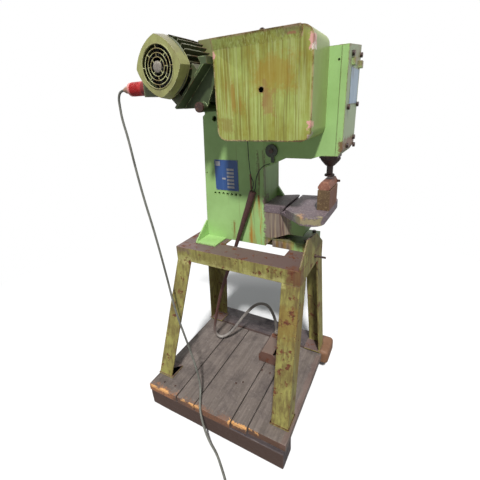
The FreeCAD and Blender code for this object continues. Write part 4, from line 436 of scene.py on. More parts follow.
# Each board has its width and how far its near end stands back.
BOARDS = ((0.197, 0.0), (0.118, 0.0), (0.219, 0.0), (0.090, 0.010), (0.199, 0.020))
SEAM, BOARD_EDGE, DECK_DENTS = 0.0015, 0.004, 0.005
boards = []
left = deck_low.x - SEAM
for width, back in BOARDS:
    low_corner = (left + SEAM, deck_low.y + back, deck_low.z)
    high_corner = (left + width - SEAM, deck_high.y, deck_high.z)
    boards.append(block(low_corner, high_corner, BOARD_EDGE, 3))
    left += width
deck = dented(joined(boards), 7, DECK_DENTS)
seat(deck, "deck_boards", deck_wood, stands_for=("deck_planks",))

beam_wood = old_wood("beam_wood", (92, 80, 78), (50, 44, 46), (48, 44, 50), along=(4.0, 60.0, 60.0),
                     faces=[(NEAR, 0.9, (70, 52, 44))], stains_and_shade=[
    ((0.43, 0.32, 0.11), (0.035, 0.2, 0.2), (0.02, 0.06, 2.0), 0.0, 0.8, (128, 92, 66)),
])
under_low, under_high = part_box("bearers")
BEAM_DEPTH, BEAM_HEIGHT, BEAM_EDGE = 0.167, 0.100, 0.024
BEARER_END, SHORT_END, BEARER_TOP, BEARER_EDGE = 0.4055, 0.3515, 0.105, 0.006
NEAR_BEARER_DEPTH, MIDDLE_FROM, MIDDLE_TO, UNDER_DENTS = 0.110, -0.0935, 0.0165, 0.003
beam_near, beam_under = under_high.y - BEAM_DEPTH, under_high.z - BEAM_HEIGHT
# Each bearer runs from the left end to its own right end, between a near and a far side, up to its top.
BEARERS = ((BEARER_END, under_low.y, under_low.y + NEAR_BEARER_DEPTH, BEARER_TOP),
           (SHORT_END, MIDDLE_FROM, MIDDLE_TO, BEARER_TOP),
           (SHORT_END, beam_near, under_high.y, beam_under))
timbers = [block((under_low.x, beam_near, beam_under), under_high, BEAM_EDGE, 4)]
for right, near, far_side, top in BEARERS:
    timbers.append(block((-BEARER_END, near, 0.0), (right, far_side, top), BEARER_EDGE))
seat(dented(joined(timbers), 5, UNDER_DENTS), "bearers_worn", beam_wood, stands_for=("bearers",))


def rusted(name, light, mid, dark, sheen=0.55, stains_and_shade=(), faces=()):
    """Bare steel under an old brown skin of rust."""
    material, tree, shader, here = start_finish(name)
    broad = step_up(tree, speckle(tree, here, 11.0, 7.0, 0.68), 0.34, 0.66)
    fine = speckle(tree, here, 130.0, 6.0, 0.72)
    base = over(tree, broad, dark, mid)
    base = over(tree, step_up(tree, fine, 0.52, 0.68), base, light)
    base = stained_and_shaded(tree, faced(tree, base, faces), stains_and_shade)
    rubbed = use(tree, worn_and_highlit_corners, Radius=0.004, Grain=60.0, Amount=0.5)["Mask"]
    base = over(tree, math_of(tree, "MULTIPLY", rubbed, 0.7), base, light)
    set_finish(tree, shader, base, math_of(tree, "MULTIPLY_ADD", broad, 0.2, sheen), fine, 0.0008, 0.5)
    return material


dark_steel = rusted("dark_steel", (104, 74, 60), (64, 44, 38), (36, 27, 25), 0.4)


def repeated(piece, spots):
    """Copy one finished piece to each spot, every copy with its own mesh, and join them."""
    copies = []
    for spot in spots:
        copy = bpy.data.objects.new(piece.name, piece.data.copy())
        scene.collection.objects.link(copy)
        copy.location = spot
        settle(copy)
        copies.append(copy)
    take(piece)
    bpy.ops.object.delete()
    return joined(copies)


SCREWS = ((0.1307, -0.0509), (0.1816, -0.0504), (0.0375, -0.1984), (0.0698, -0.1750), (-0.335, -0.372),
          (-0.262, -0.366))
HEAD_RADIUS, HEAD_SHOWS, HEAD_SUNK, CROWN = 0.0055, 0.0012, 0.004, 0.0008
SCREW = [(-HEAD_SUNK, HEAD_RADIUS), (HEAD_SHOWS, HEAD_RADIUS), (HEAD_SHOWS + CROWN, HEAD_RADIUS * 0.7)]
screw = turned(SCREW, (0, 0, deck_high.z), UP, 16)
seat(repeated(screw, [(x, y, 0) for x, y in SCREWS]), "deck_screws", dark_steel)

# ---------------------------------------------------------------- stand
# Welded stand of angle iron: four splayed legs, a ring of rails and an upright gusset plate on the right end.
# Olive paint over brown rust, which has won on the flat tops and along the corners.

# Rust bloom: patches that follow the worn corners, in three browns.
rust_bloom, given, result = effect("rust_bloom", {"Scale": 7.0, "Amount": 0.4, "Corner": 0.0},
                                   {"Mask": "Float", "Colour": "Color", "Height": "Float"})
here = put(rust_bloom, "TexCoord").outputs["Object"]
broad = speckle(rust_bloom, here, given["Scale"], 8.0, 0.68)
bloom = math_of(rust_bloom, "MULTIPLY_ADD", given["Corner"], 0.22, broad)
line = math_of(rust_bloom, "MULTIPLY_ADD", given["Amount"], -0.3, 0.74)
over_line = math_of(rust_bloom, "SUBTRACT", bloom, line)
rust_bloom.links.new(step_up(rust_bloom, over_line, 0.0, 0.05), result["Mask"])
fine = speckle(rust_bloom, here, 160.0, 5.0, 0.7)
dark_to_mid = over(rust_bloom, step_up(rust_bloom, fine, 0.35, 0.62), (62, 36, 28), (118, 70, 46))
rust_bloom.links.new(over(rust_bloom, step_up(rust_bloom, fine, 0.6, 0.78), dark_to_mid, (168, 104, 60)),
                     result["Colour"])
rust_bloom.links.new(fine, result["Height"])


def worn_paint(name, fresh, aged, streak, rust, runs, corner, scale, cloud=(4.0, 4.0, 4.0), comb=70.0,
               faces=(), bare_and_highlight=(120, 84, 62), edge_width=0.004, pale=None, rough=0.5, stains_and_shade=()):
    """Old enamel: two tones in clouds, rain streaks, stains and patches of painted shade, rubbed corners that
    on some finishes are painted highlights, and rust coming through.
    """
    material, tree, shader, here = start_finish(name)
    clouds = speckle(tree, stretched(tree, here, cloud), 1.0, 6.0, 0.65)
    base = over(tree, step_up(tree, clouds, 0.36, 0.64), fresh, aged)
    wet = use(tree, rain_runs, Across=comb, Amount=runs)["Mask"]
    base = over(tree, math_of(tree, "MULTIPLY", wet, 0.7), base, streak)
    if pale:
        lines = use(tree, rain_runs, Across=comb * 1.6, Down=5.0, Amount=0.75)["Mask"]
        base = over(tree, math_of(tree, "MULTIPLY", lines, 0.6), base, pale)
    base = stained_and_shaded(tree, faced(tree, base, faces), stains_and_shade)
    edge = use(tree, worn_and_highlit_corners, Radius=edge_width, Amount=corner)["Mask"]
    base = over(tree, edge, base, bare_and_highlight)
    rusty = use(tree, rust_bloom, Scale=scale, Amount=rust, Corner=edge)
    base = over(tree, rusty["Mask"], base, rusty["Colour"])
    height = math_of(tree, "MULTIPLY", rusty["Height"], rusty["Mask"])
    set_finish(tree, shader, base, math_of(tree, "MULTIPLY_ADD", rusty["Mask"], 0.3, rough), height)
    return material


stand_low, stand_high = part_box("long_rails")
PATCHY = (0.02, 0.10, 3.0)
stand_paint = worn_paint("stand_paint", (154, 150, 84), (112, 100, 56), (92, 74, 46), rust=0.56, runs=0.85,
                         corner=0.6, scale=21.0, cloud=(20.0, 20.0, 9.0), faces=[(UP, 1.0, (100, 82, 78))],
                         rough=0.6, stains_and_shade=[
    ((stand_high.x, stand_low.y, stand_high.z - 0.03), (0.05, 0.03, 0.03), PATCHY, 0.0, 0.8, (104, 66, 48)),
    ((stand_high.x - 0.06, stand_low.y, 0.56), (0.08, 0.05, 0.18), PATCHY, 0.0, 0.6, (124, 98, 44)),
    ((stand_high.x - 0.06, stand_low.y, 0.20), (0.08, 0.05, 0.05), PATCHY, 30.0, 0.7, (108, 86, 58)),
    ((stand_low.x + 0.03, stand_low.y, 0.25), (0.08, 0.06, 0.09), PATCHY, 30.0, 0.6, (108, 96, 54)),
    ((stand_low.x, stand_low.y, stand_high.z), (0.08, 0.05, 0.02), PATCHY, 0.0, 0.6, (112, 88, 84)),
    ((0.0, stand_low.y, stand_low.z), (0.3, 0.01, 0.008), PATCHY, 0.0, 0.5, (190, 186, 120)),
])
LEGS = ("leg_near_left", "leg_near_right", "leg_far_left", "leg_far_right")
for node in LEGS + ("long_rails", "end_rails", "end_plate"):
    eased(node, stand_paint, 0.002)

# ---------------------------------------------------------------- press frame
# Two flame-cut side plates with a bent back plate and webs welded between them, sprayed light green.
# Rain has drawn rust and dirt down the column and the jaw; a machined front plate closes the head.

NEAR_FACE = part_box("side_plate_near")[0].y
DRAWN = (0.012, 0.025, 3.0)
press_paint = worn_paint("press_paint", (160, 198, 126), (144, 180, 110), (128, 146, 88), rust=0.14,
                         runs=0.35, corner=0.32, scale=11.0, rough=0.42, stains_and_shade=[
    ((0.082, NEAR_FACE, 1.06), (0.030, 0.03, 0.125), DRAWN, 60.0, 0.95, (172, 118, 44)),
    ((0.078, NEAR_FACE, 1.04), (0.014, 0.03, 0.105), DRAWN, 90.0, 1.0, (104, 56, 26)),
    ((-0.042, NEAR_FACE, 0.99), (0.006, 0.02, 0.045), DRAWN, 120.0, 0.8, (128, 92, 40)),
    ((0.120, NEAR_FACE, 1.28), (0.012, 0.03, 0.12), DRAWN, 90.0, 0.9, (84, 52, 36)),
    ((0.200, NEAR_FACE, 1.05), (0.062, 0.05, 0.13), (0.012, 0.05, 3.0), 0.0, 0.9, (128, 106, 104)),
    ((0.200, NEAR_FACE, 1.05), (0.060, 0.05, 0.13), DRAWN, 60.0, 0.9, (92, 68, 64)),
    ((0.215, NEAR_FACE, 1.04), (0.050, 0.05, 0.08), DRAWN, 110.0, 0.6, (186, 166, 132)),
    ((0.250, NEAR_FACE, 0.95), (0.120, 0.14, 0.022), DRAWN, 50.0, 0.7, (146, 116, 50)),
    # Painted shade: the thin dark green band below darkens the top of the front foot block, which lay in
    # shadow.
    ((0.250, NEAR_FACE, 0.972), (0.120, 0.25, 0.006), (0.004, 0.03, 3.0), 0.0, 0.5, (70, 88, 40)),
])
for node in ("back_plate", "throat_web", "jaw_web", "press_feet"):
    eased(node, press_paint, 0.0015)
for node in ("side_plate_near", "side_plate_far"):
    coat(node, press_paint)

front_low, front_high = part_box("head_front_plate")
front_x, middle = front_high.x, (front_low + front_high) / 2
front_paint = worn_paint("front_paint", (160, 198, 126), (146, 180, 112), (110, 108, 84), rust=0.22, runs=0.3,
                         corner=0.5, scale=22.0, faces=[(RIGHT, 0.85, (146, 158, 128))], bare_and_highlight=(126, 104, 82),
                         edge_width=0.006, stains_and_shade=[
    ((front_x, middle.y, front_high.z), (0.010, 0.2, 0.085), (0.006, 0.03, 4.0), 0.0, 0.8, (134, 116, 84)),
    ((front_x, middle.y, front_low.z), (0.020, 0.2, 0.06), (0.01, 0.05, 5.0), 0.0, 0.9, (112, 70, 52)),
    ((front_x, front_low.y, middle.z), (0.009, 0.012, 0.3), (0.004, 0.02, 5.0), 0.0, 0.8, (132, 112, 90)),
])
eased("head_front_plate", front_paint, 0.0015)
# A bare steel shim lies on top of the head, beside the front plate.
SHIM_LOW, SHIM_HIGH = (0.437, 0.050, 1.790), (0.457, 0.110, 1.796)
red_rust = rusted("red_rust", (176, 108, 88), (138, 78, 62), (96, 54, 44))
seat(block(SHIM_LOW, SHIM_HIGH, 0.001), "head_shim", red_rust)

# ---------------------------------------------------------------- table and lower tool
# Thick steel table with a T-slot across it, set on the jaw and left bare, so that it has rusted.
# A square cast die block stands at its right end; a set screw clamps the slit cap on top.

table_low, table_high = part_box("table")
OLD_PAINT, GREY_PATCH, ORANGE_EDGE = (166, 156, 108), (134, 136, 132), (190, 146, 104)
NEAR_SIDE, TOP = table_low.y, table_high.z
table_rust = rusted("table_rust", (156, 142, 140), (116, 102, 106), (88, 76, 82), 0.5, [
    ((0.36, NEAR_SIDE, TOP - 0.018), (0.09, 0.03, 0.012), (0.006, 0.05, 9.0), 0.0, 0.6, OLD_PAINT),
    ((0.31, NEAR_SIDE + 0.015, TOP), (0.05, 0.015, 0.003), (0.008, 0.06, 7.0), 0.0, 0.7, ORANGE_EDGE),
    ((0.22, NEAR_SIDE, TOP - 0.02), (0.09, 0.03, 0.03), (0.02, 0.05, 3.0), 0.0, 0.7, GREY_PATCH),
])
eased("table", table_rust, 0.0025, segments=3)
die_rust = rusted("die_rust", (138, 116, 82), (104, 84, 58), (76, 56, 42), 0.5,
                  faces=[(RIGHT, 0.8, (104, 62, 42))])
cap_rust = rusted("cap_rust", (178, 128, 106), (146, 98, 80), (104, 66, 54), 0.5,
                  faces=[(RIGHT, 0.8, (112, 68, 48))])
eased("lower_die", die_rust, 0.002)
eased("die_cap", cap_rust, 0.002)
cap_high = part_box("die_cap")[1]
SET_SCREW = [(-0.006, 0.006), (0.010, 0.006), (0.012, 0.0045)]
SCREW_IN, SCREW_DOWN = 0.012, 0.02
screw_at = (cap_high.x, cap_high.y - SCREW_IN, cap_high.z - SCREW_DOWN)
seat(turned(SET_SCREW, screw_at, RIGHT, 6), "die_set_screw", dark_steel)

# ---------------------------------------------------------------- head, ram and upper tool
# The ram slides in two gibs behind the front plate; a coned nut holds the punch in it. Both are steel gone
# dark with rust and oil. The shaft, flywheel and linkage that drive them are machined steel and cast iron in
# bronze bushes, all behind the guard and in the head.

cast_iron = rusted("oiled_iron", (84, 88, 76), (58, 60, 54), (36, 37, 34), 0.35)
bright_steel = rusted("bright_steel", (168, 164, 160), (134, 130, 128), (96, 92, 90), 0.3)
bronze = rusted("bronze", (196, 150, 92), (164, 118, 64), (110, 78, 44), 0.35)
eased("ram_nut", dark_steel, 0.0012, "ram")
eased("punch", dark_steel, 0.0010, "ram")
eased("ram", dark_steel, 0.0012, "ram")
for node in ("main_shaft", "clutch_collar", "clutch_pin", "rotor", "motor_bearings"):
    coat(node, bright_steel)
for node in ("gibs", "rocker", "connecting_rod", "flywheel", "motor_pulley"):
    coat(node, cast_iron)
for node in ("shaft_bushes", "flywheel_bush"):
    coat(node, bronze)
eased("pivot_pins", dark_steel, 0.0008)
for node in ("bracket_bolts", "head_bolts", "stand_bolts", "eye_bolt"):
    eased(node, dark_steel, 0.0008)

# ---------------------------------------------------------------- motor
# Finned cast motor, dark green, bolted on a tilted bracket of welded plate behind the column. A pressed
# cowl of lighter olive sheet covers the fan, and its ringed grille faces the near side.

# Painted highlight: the fin edges are made light and the upward faces lighter grey, where light caught them;
# some of the light edging is worn paint too.
motor_paint = worn_paint("motor_paint", (84, 92, 60), (62, 68, 46), (50, 46, 34), rust=0.18, runs=0.3,
                         corner=0.75, scale=14.0, faces=[(UP, 1.0, (104, 100, 86))], bare_and_highlight=(150, 148, 126))
# Painted shade and highlight: the bracket's dark greens stand for it lying in the shadow of motor and guard,
# and its light green edges are a painted highlight where the sun caught them.
bracket_painted_shade = worn_paint("bracket_painted_shade", (84, 100, 66), (60, 70, 46), (46, 44, 32), rust=0.2, runs=0.4,
                           corner=0.7, scale=12.0, bare_and_highlight=(186, 206, 150))
# Painted sky light: the cowl's upward faces are tinted grey-brown as the sky lit its top.
cowl_paint = worn_paint("cowl_paint", (162, 164, 104), (136, 134, 86), (106, 98, 70), rust=0.16, runs=0.4,
                        corner=0.6, scale=16.0, cloud=(16.0, 16.0, 10.0), faces=[(UP, 0.9, (126, 118, 104))],
                        bare_and_highlight=(200, 202, 156), rough=0.45)
rubber = rusted("belt_rubber", (60, 58, 56), (38, 37, 36), (24, 24, 24), 0.6)
coat("motor_housing", motor_paint)
eased("motor_bracket", bracket_painted_shade, 0.0015)
eased("fan_cowl", cowl_paint, 0.0008)
for node in ("motor_fan", "v_belt"):
    coat(node, rubber)


def hoop(centre, middle, wire, steps, sides, thin=1.0):
    """Upright ring: a round section spun about the centre, then pressed thinner."""
    bpy.ops.object.select_all(action="DESELECT")
    bpy.ops.mesh.primitive_circle_add(vertices=sides, radius=wire, location=centre + Vector((middle, 0, 0)),
                                      rotation=(0, 0, math.pi / 2))
    piece = bpy.context.object
    bpy.ops.object.mode_set(mode="EDIT")
    bpy.ops.mesh.select_all(action="SELECT")
    bpy.ops.mesh.spin(steps=steps, angle=math.tau, center=centre, axis=(0, 1, 0))
    bpy.ops.mesh.select_all(action="SELECT")
    bpy.ops.mesh.remove_doubles(threshold=SAME_POINT)
    bpy.ops.mesh.normals_make_consistent(inside=False)
    bpy.ops.transform.resize(value=(1, thin, 1))
    bpy.ops.object.mode_set(mode="OBJECT")
    settle(piece)
    bpy.ops.object.shade_smooth()
    return piece


cowl_low, cowl_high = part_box("fan_cowl")
hub = Vector(((cowl_low.x + cowl_high.x) / 2, cowl_low.y, (cowl_low.z + cowl_high.z) / 2))
LIP_RADIUS, LIP_WIRE = 0.0775, 0.0026
lip = hoop(hub, LIP_RADIUS, LIP_WIRE, 72, 10)
grille_steel = rusted("grille_steel", (186, 180, 164), (150, 142, 130), (104, 96, 90), 0.35)
DISC = [(-0.001, 0.0205), (0.002, 0.0195), (0.004, 0.0150), (0.005, 0.0080), (0.0046, 0.0030)]
disc = turned(DISC, hub, NEAR, 40)
# The rim of the end shield closes the view through the grille round the fan.
RIM_MIDDLE, RIM_HALF, RIM_BEHIND, RIM_THIN = 0.094, 0.014, 0.044, 0.3
rim = hoop(hub + Vector((0, RIM_BEHIND, 0)), RIM_MIDDLE, RIM_HALF, 64, 12, RIM_THIN)
seat(rim, "end_shield_rim", motor_paint)
seat(lip, "cowl_lip", cowl_paint)
seat(disc, "cowl_disc", grille_steel)

# ---------------------------------------------------------------- guard and belt cover
# Sheet guard over flywheel and belt, bent out along its top; yellowed by the sun and streaked by rain.
# Its corners are knocked down to pink primer and white metal, and dirt has run from the shaft hole.

guard_low, guard_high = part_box("guard")
TOP_FLARE = 0.014
FACE_Y = guard_low.y + TOP_FLARE
CHIP = (0.003, 0.045, 8.0)
PRIMER, BARE_WHITE, SCAR = (226, 168, 156), (236, 222, 208), (120, 52, 48)
guard_paint = worn_paint("guard_paint", (162, 176, 94), (142, 138, 56), (114, 104, 40), rust=0.14, runs=0.9,
                         corner=0.42, scale=24.0, cloud=(15.0, 15.0, 9.0), comb=120.0,
                         faces=[(RIGHT, 0.75, (148, 168, 104))], bare_and_highlight=(182, 146, 124), edge_width=0.009,
                         rough=0.38, pale=(188, 200, 130), stains_and_shade=[
    ((0.27, FACE_Y, 1.70), (0.055, 0.03, 0.035), (0.04, 0.10, 2.0), 0.0, 0.6, (156, 124, 40)),
    ((0.10, FACE_Y, 1.63), (0.030, 0.03, 0.035), (0.03, 0.10, 3.0), 40.0, 0.7, (150, 116, 44)),
    ((0.07, FACE_Y, 1.53), (0.020, 0.03, 0.015), (0.02, 0.05, 3.0), 0.0, 0.6, (132, 112, 48)),
    ((0.248, FACE_Y, 1.605), (0.016, 0.03, 0.035), (0.014, 0.04, 3.0), 0.0, 0.6, (150, 112, 66)),
    ((0.235, FACE_Y, 1.640), (0.006, 0.03, 0.045), (0.006, 0.02, 3.0), 0.0, 0.5, (142, 104, 62)),
    # Painted shade: the long dark band darkens the strip bent out along the top, which faces down and lay in
    # its own shadow.
    ((0.225, FACE_Y - 0.02, 1.878), (0.30, 0.040, 0.044), (0.003, 0.010, 1.0), 0.0, 0.85, (108, 116, 72)),
    ((0.360, FACE_Y - 0.02, 1.850), (0.050, 0.040, 0.020), (0.03, 0.06, 3.0), 0.0, 0.6, (118, 100, 76)),
    ((guard_high.x, FACE_Y, 1.783), (0.016, 0.03, 0.018), CHIP, 0.0, 1.0, PRIMER),
    ((guard_high.x, FACE_Y, 1.788), (0.012, 0.03, 0.016), CHIP, 90.0, 1.0, SCAR),
    ((guard_high.x, FACE_Y, 1.765), (0.008, 0.03, 0.006), CHIP, 0.0, 1.0, BARE_WHITE),
    ((guard_high.x, FACE_Y, 1.525), (0.010, 0.03, 0.008), CHIP, 0.0, 1.0, PRIMER),
    ((guard_high.x, FACE_Y, 1.485), (0.012, 0.03, 0.014), CHIP, 0.0, 0.9, (206, 190, 176)),
    ((guard_low.x, FACE_Y, 1.780), (0.004, 0.03, 0.014), CHIP, 0.0, 1.0, PRIMER),
    ((0.335, FACE_Y, 1.812), (0.010, 0.03, 0.004), CHIP, 0.0, 0.8, (164, 108, 84)),
    # Painted shade: the thin dark line darkens the bottom edge and underside, which lay in shadow.
    ((0.215, FACE_Y, guard_low.z), (0.19, 0.04, 0.003), (0.002, 0.012, 9.0), 0.0, 0.9, (70, 66, 38)),
])
eased("guard", guard_paint, 0.0012)
cover_paint = worn_paint("cover_paint", (140, 144, 96), (122, 122, 80), (104, 92, 62), rust=0.2, runs=0.4,
                         corner=0.5, scale=18.0, bare_and_highlight=(176, 164, 130), rough=0.45)
eased("belt_cover", cover_paint, 0.0010)

# ---------------------------------------------------------------- trip gear
# Iron disc on the column, two thin wires led into a tapered rubber sheath, and the plastic hose from there to
# the foot switch. A brass-brown sleeve is pushed over the end of the upper wire.

sheath_rubber = rusted("sheath_rubber", (98, 64, 58), (76, 48, 44), (50, 34, 32), 0.6)
disc_iron = rusted("disc_iron", (96, 106, 84), (66, 74, 58), (40, 44, 38), 0.4)
eased("cable_sheath", sheath_rubber, 0.001)
eased("trip_cam", disc_iron, 0.0008, "cam")
coat("trip_wires", rubber)
sleeve_top, sleeve_low = Vector((0.0738, -0.0052, 1.300)), Vector((0.0768, -0.005, 1.222))
down_wire = sleeve_low - sleeve_top
SLEEVE_RADIUS, TOP_TAPER, LOW_TAPER = 0.0046, 0.005, 0.006
sleeve = [(0.0, 0.0026), (TOP_TAPER, SLEEVE_RADIUS), (down_wire.length - LOW_TAPER, SLEEVE_RADIUS),
          (down_wire.length, 0.0032)]
sleeve_brown = rusted("sleeve_brown", (150, 118, 84), (118, 84, 60), (84, 58, 44), 0.5)
seat(turned(sleeve, sleeve_top, down_wire, 20), "wire_sleeve", sleeve_brown)


def cord_finish(name, main, dark, scuff):
    """Dull plastic skin with rubbed and dirty stretches."""
    material, tree, shader, here = start_finish(name)
    base = over(tree, step_up(tree, speckle(tree, here, 12.0), 0.4, 0.65), main, dark)
    fine = speckle(tree, here, 240.0)
    base = over(tree, step_up(tree, fine, 0.62, 0.72), base, scuff)
    set_finish(tree, shader, base, step_up(tree, fine, -0.6, 1.2), fine, 0.0003, 0.3)
    return material, tree, shader


def cord_line(name, route, radius):
    """One smooth line through its route, thick as the cord."""
    curve = bpy.data.curves.new(name, "CURVE")
    curve.dimensions = "3D"
    spline = curve.splines.new("NURBS")
    spline.points.add(len(route) - 1)
    for point, spot in zip(spline.points, route):
        point.co = (*spot, 1.0)
    spline.order_u = 3
    spline.use_endpoint_u = True
    spline.resolution_u = 10
    curve.bevel_depth = radius
    curve.bevel_resolution = 5
    curve.use_fill_caps = True
    piece = bpy.data.objects.new(name, curve)
    scene.collection.objects.link(piece)
    return piece


hose_route = [(-0.020, -0.020, 0.910), (-0.05399, -0.0249, 0.8107), (-0.106, -0.012, 0.690),
              (-0.158, 0.004, 0.560), (-0.200, 0.020, 0.430), (-0.236, 0.034, 0.312), (-0.258, 0.044, 0.222),
              (-0.228, 0.060, 0.166), (-0.166, 0.084, 0.200), (-0.112, 0.112, 0.286), (-0.058, 0.142, 0.372),
              (0.0, 0.172, 0.436), (0.062, 0.192, 0.434), (0.100, 0.194, 0.376), (0.122, 0.190, 0.310),
              (0.130, 0.180, 0.246)]
HOSE_RADIUS = 0.009
hose = cord_line("switch_hose", hose_route, HOSE_RADIUS)
hose_skin, tree, shader = cord_finish("hose_skin", (146, 140, 134), (108, 102, 98), (186, 180, 174))
# Its stretch from the sheath to the lowest bend is brown; the rest has stayed grey.
BROWN_FROM, BROWN_ALL, HOSE_BROWN = 0.05, 0.02, (92, 60, 54)
depth = put(tree, "SeparateXYZ", {0: put(tree, "TexCoord").outputs["Object"]}).outputs[1]
grey_skin = shader.inputs["Base Color"].links[0].from_socket
two_tone = over(tree, step_up(tree, depth, BROWN_FROM, BROWN_ALL), grey_skin, HOSE_BROWN)
tree.links.new(two_tone, shader.inputs["Base Color"])
hose.data.materials.append(hose_skin)
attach(hose, "press")
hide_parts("hose")

# ---------------------------------------------------------------- foot switch
# Cast housing that stands on the deck, its brown paint rusted through, with a sprung plate inside its mouth.
# The hose ends in a bright plated gland nut on its top.

switch_paint = worn_paint("switch_paint", (116, 84, 72), (84, 62, 54), (62, 46, 40), rust=0.5, runs=0.2,
                          corner=0.5, scale=15.0, faces=[(UP, 0.6, (116, 102, 92))], rough=0.55)
eased("foot_switch", switch_paint, 0.003, segments=3)
eased("foot_pedal", switch_paint, 0.0015, "pedal")
spring = eased("pedal_spring", bright_steel, 0, sharp=60)
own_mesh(spring)
NUT = [(0.0, 0.0150), (0.012, 0.0150), (0.013, 0.0125), (0.022, 0.0125), (0.026, 0.0100)]
NUT_FOOT, NUT_WAY = (0.130, 0.180, 0.242), (0, 0.1, 1)
plated_steel = rusted("plated_steel", (206, 198, 184), (160, 150, 138), (112, 100, 90), 0.25)
seat(turned(NUT, NUT_FOOT, NUT_WAY, 6, 0.0008), "hose_nut", plated_steel)

# ---------------------------------------------------------------- plates
# Two plates of thin enamelled sheet: a blue one riveted to the column, with plain pale fields on it, and a
# plain pale one on the head.

blue_plate = worn_paint("blue_plate", (58, 92, 150), (50, 78, 128), (90, 116, 160), rust=0.05, runs=0.4,
                        corner=0.4, scale=30.0, bare_and_highlight=(150, 156, 160), rough=0.35)
pale_plate = worn_paint("pale_plate", (120, 150, 172), (92, 126, 156), (166, 186, 198), rust=0.08, runs=0.6,
                        corner=0.4, scale=30.0, cloud=(10.0, 16.0, 10.0), rough=0.35)
pale_field = worn_paint("pale_field", (176, 178, 182), (150, 152, 160), (120, 122, 140), rust=0.05, runs=0.5,
                        corner=0.3, scale=40.0, rough=0.4)
eased("nameplate", blue_plate, 0.0004)
eased("label_plate", pale_plate, 0.0004)
plate_low, plate_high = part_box("nameplate")
plate_width, plate_height = plate_high.x - plate_low.x, plate_high.z - plate_low.z
PROUD, FIELD_EDGE = 0.0003, 0.0001


def field(left, right, low, high):
    """Plain raised field, its sides given as shares of the plate's width and height."""
    return block((plate_low.x + left * plate_width, plate_low.y - PROUD, plate_low.z + low * plate_height),
                 (plate_low.x + right * plate_width, plate_low.y + PROUD, plate_low.z + high * plate_height),
                 FIELD_EDGE)


BARS, BAR_PITCH = 6, 0.115 * plate_height
bars = repeated(field(0.52, 0.82, 0.08, 0.155), [(0, 0, step * BAR_PITCH) for step in range(BARS)])
fields = [field(0.05, 0.25, 0.80, 0.95), field(0.30, 0.46, 0.36, 0.42), bars]
seat(joined(fields), "plate_fields", pale_field)
RIVET = [(-0.001, 0.0022), (0.0006, 0.0022), (0.0014, 0.0012)]
RIVET_IN = 0.005
corners = [(x, 0, z) for x in (plate_low.x + RIVET_IN, plate_high.x - RIVET_IN)
           for z in (plate_low.z + RIVET_IN, plate_high.z - RIVET_IN)]
rivet = turned(RIVET, (0, plate_low.y, 0), NEAR, 12, 0.0002)
seat(repeated(rivet, corners), "plate_rivets", bright_steel)

# ---------------------------------------------------------------- plug and mains lead
# Red five-pin plug in the motor's inlet, ribbed for the hand, with a beige gland; its grey lead falls past
# the stand to the floor, where the rest lies in a coil with a second plug.

red_plastic = worn_paint("red_plastic", (186, 40, 38), (160, 32, 34), (112, 26, 30), rust=0.0, runs=0.3,
                         corner=0.2, scale=20.0, bare_and_highlight=(216, 110, 100), rough=0.38)
dark_red = worn_paint("dark_red", (128, 34, 36), (96, 26, 30), (70, 24, 26), rust=0.0, runs=0.3, corner=0.3,
                      scale=20.0, bare_and_highlight=(170, 80, 76), rough=0.4)
pink_band = worn_paint("pink_band", (226, 160, 150), (206, 130, 124), (170, 96, 92), rust=0.0, runs=0.4,
                       corner=0.2, scale=20.0, bare_and_highlight=(236, 190, 180), rough=0.4)
gland_beige = worn_paint("gland_beige", (176, 140, 116), (146, 110, 90), (104, 72, 60), rust=0.15, runs=0.3,
                         corner=0.3, scale=24.0)
coat("plug_inlet", dark_red)
SHELL, BAND, TAIL = 0.082, 0.010, 0.044
COLLAR, CHAMFER, WAIST_IN, RIB_IN = 0.016, 0.0015, 0.003, 0.0005
FIRST_RIB, RIB_PITCH, RIBS, GROOVE = 0.022, 0.0072, 7, 0.0028


def plug(name, node, face, way, radius):
    """Plug from its face back: a collar, a ribbed shell, a pale ring and the gland round its lead."""
    face, way = Vector(face), Vector(way)
    waist, crest, trough = radius - WAIST_IN, radius - RIB_IN, radius - RIB_IN - GROOVE
    shell = [(0.0, radius), (COLLAR, radius), (COLLAR + CHAMFER, waist), (FIRST_RIB - 0.001, waist)]
    for rib in range(RIBS):
        start = FIRST_RIB + rib * RIB_PITCH
        shell += [(start, crest), (start + RIB_PITCH * 0.55, crest)]
        shell += [(start + RIB_PITCH * 0.7, trough), (start + RIB_PITCH * 0.9, trough)]
    red = turned(shell, face, way, 40, 0.0002)
    band = [(-0.002, radius - 0.001), (BAND, radius - 0.001)]
    ring = turned(band, face + way * (SHELL - BAND), way, 40, 0.0012)
    gland = [(0.0, radius - 0.004), (0.006, radius - 0.006), (0.016, 0.0165), (0.030, 0.0150), (TAIL, 0.0090)]
    tail = turned(gland, face + way * SHELL, way, 32, 0.0008)
    return [seat(red, name, red_plastic, stands_for=(node,)),
            seat(ring, name + "_ring", pink_band),
            seat(tail, name + "_gland", gland_beige)]


plug_low, plug_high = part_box("mains_plug")
plug_y, plug_z = (plug_low.y + plug_high.y) / 2, (plug_low.z + plug_high.z) / 2
MOTOR_PLUG_RADIUS, LOOSE_PLUG_RADIUS = 0.030, 0.0285
near_plug = plug("motor_plug", "mains_plug", (plug_high.x, plug_y, plug_z), (-1, 0, 0), MOTOR_PLUG_RADIUS)

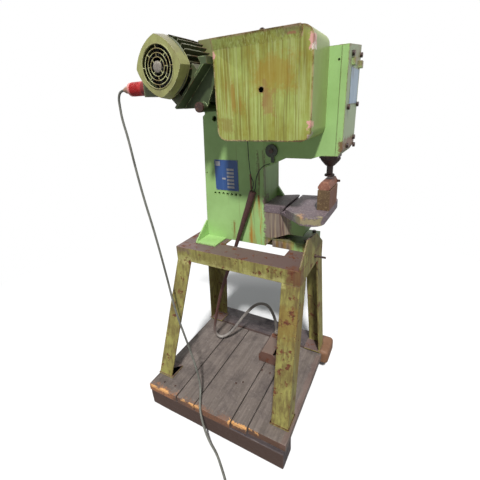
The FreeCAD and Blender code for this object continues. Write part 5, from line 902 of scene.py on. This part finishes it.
lead_route = [(-0.4555, -0.190, 1.690), (-0.4855, -0.190, 1.690), (-0.5065, -0.191, 1.662),
              (-0.5045, -0.194, 1.618), (-0.496, -0.201, 1.565), (-0.468, -0.210, 1.480),
              (-0.438, -0.224, 1.345), (-0.398, -0.240, 1.195), (-0.352, -0.254, 1.050),
              (-0.312, -0.269, 0.905), (-0.281, -0.280, 0.770), (-0.247, -0.296, 0.625),
              (-0.190, -0.310, 0.480), (-0.139, -0.322, 0.345), (-0.106, -0.334, 0.232),
              (-0.088, -0.360, 0.178), (-0.062, -0.408, 0.172), (-0.038, -0.438, 0.142),
              (-0.019, -0.450, 0.092), (0.002, -0.460, 0.046), (0.034, -0.474, 0.014),
              (0.084, -0.496, 0.0055), (0.134, -0.535, 0.0055), (0.192, -0.585, 0.0055),
              (0.248, -0.640, 0.0055)]
LEAD_RADIUS = 0.0055
COIL_RADIUS, COIL_PITCH, COIL_TURNS, COIL_TAIL, PER_TURN = 0.068, 0.0118, 2, 0.110, 12
coil_start = Vector(lead_route[-1])
heading = (coil_start - Vector(lead_route[-2])).normalized()
inward = Vector((heading.y, -heading.x, 0.0))
coil_middle = coil_start + inward * COIL_RADIUS
# The smooth line cuts inside its points, so the coil's points stand a little out.
OUT_OF_LINE = 0.0015
point_radius = COIL_RADIUS + OUT_OF_LINE
for step in range(1, COIL_TURNS * PER_TURN + 1):
    turned_by = math.tau * step / PER_TURN
    spot = coil_middle + (heading * math.sin(turned_by) - inward * math.cos(turned_by)) * point_radius
    lead_route.append((spot.x, spot.y, LEAD_RADIUS + COIL_PITCH * step / PER_TURN))
tail_end = coil_start + Vector((0, 0, COIL_PITCH * COIL_TURNS)) + heading * COIL_TAIL
lead_route.append(tuple(tail_end))
far_face = tail_end + heading * (SHELL + TAIL)
far_plug = plug("loose_plug", "far_plug", far_face, -heading, LOOSE_PLUG_RADIUS)
PINS, PIN_CIRCLE, PIN_RADIUS, PIN_LENGTH, PIN_SUNK = 5, 0.015, 0.003, 0.016, 0.004
PIN = [(-PIN_SUNK, PIN_RADIUS), (PIN_LENGTH - 0.001, PIN_RADIUS), (PIN_LENGTH, PIN_RADIUS * 0.6)]
across, upwards = heading.cross(Vector(UP)), Vector(UP)
pin_spots = []
for step in range(PINS):
    turned_by = math.tau * step / PINS
    pin_spots.append((across * math.cos(turned_by) + upwards * math.sin(turned_by)) * PIN_CIRCLE)
pins = repeated(turned(PIN, far_face, heading, 12), pin_spots)
far_plug.append(seat(pins, "plug_pins", bright_steel))
lead = cord_line("mains_lead", lead_route, LEAD_RADIUS)
lead.data.materials.append(cord_finish("lead_skin", (112, 112, 104), (78, 78, 72), (176, 176, 168))[0])
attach(lead, "press")
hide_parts("mains_cable", "cable_coil")
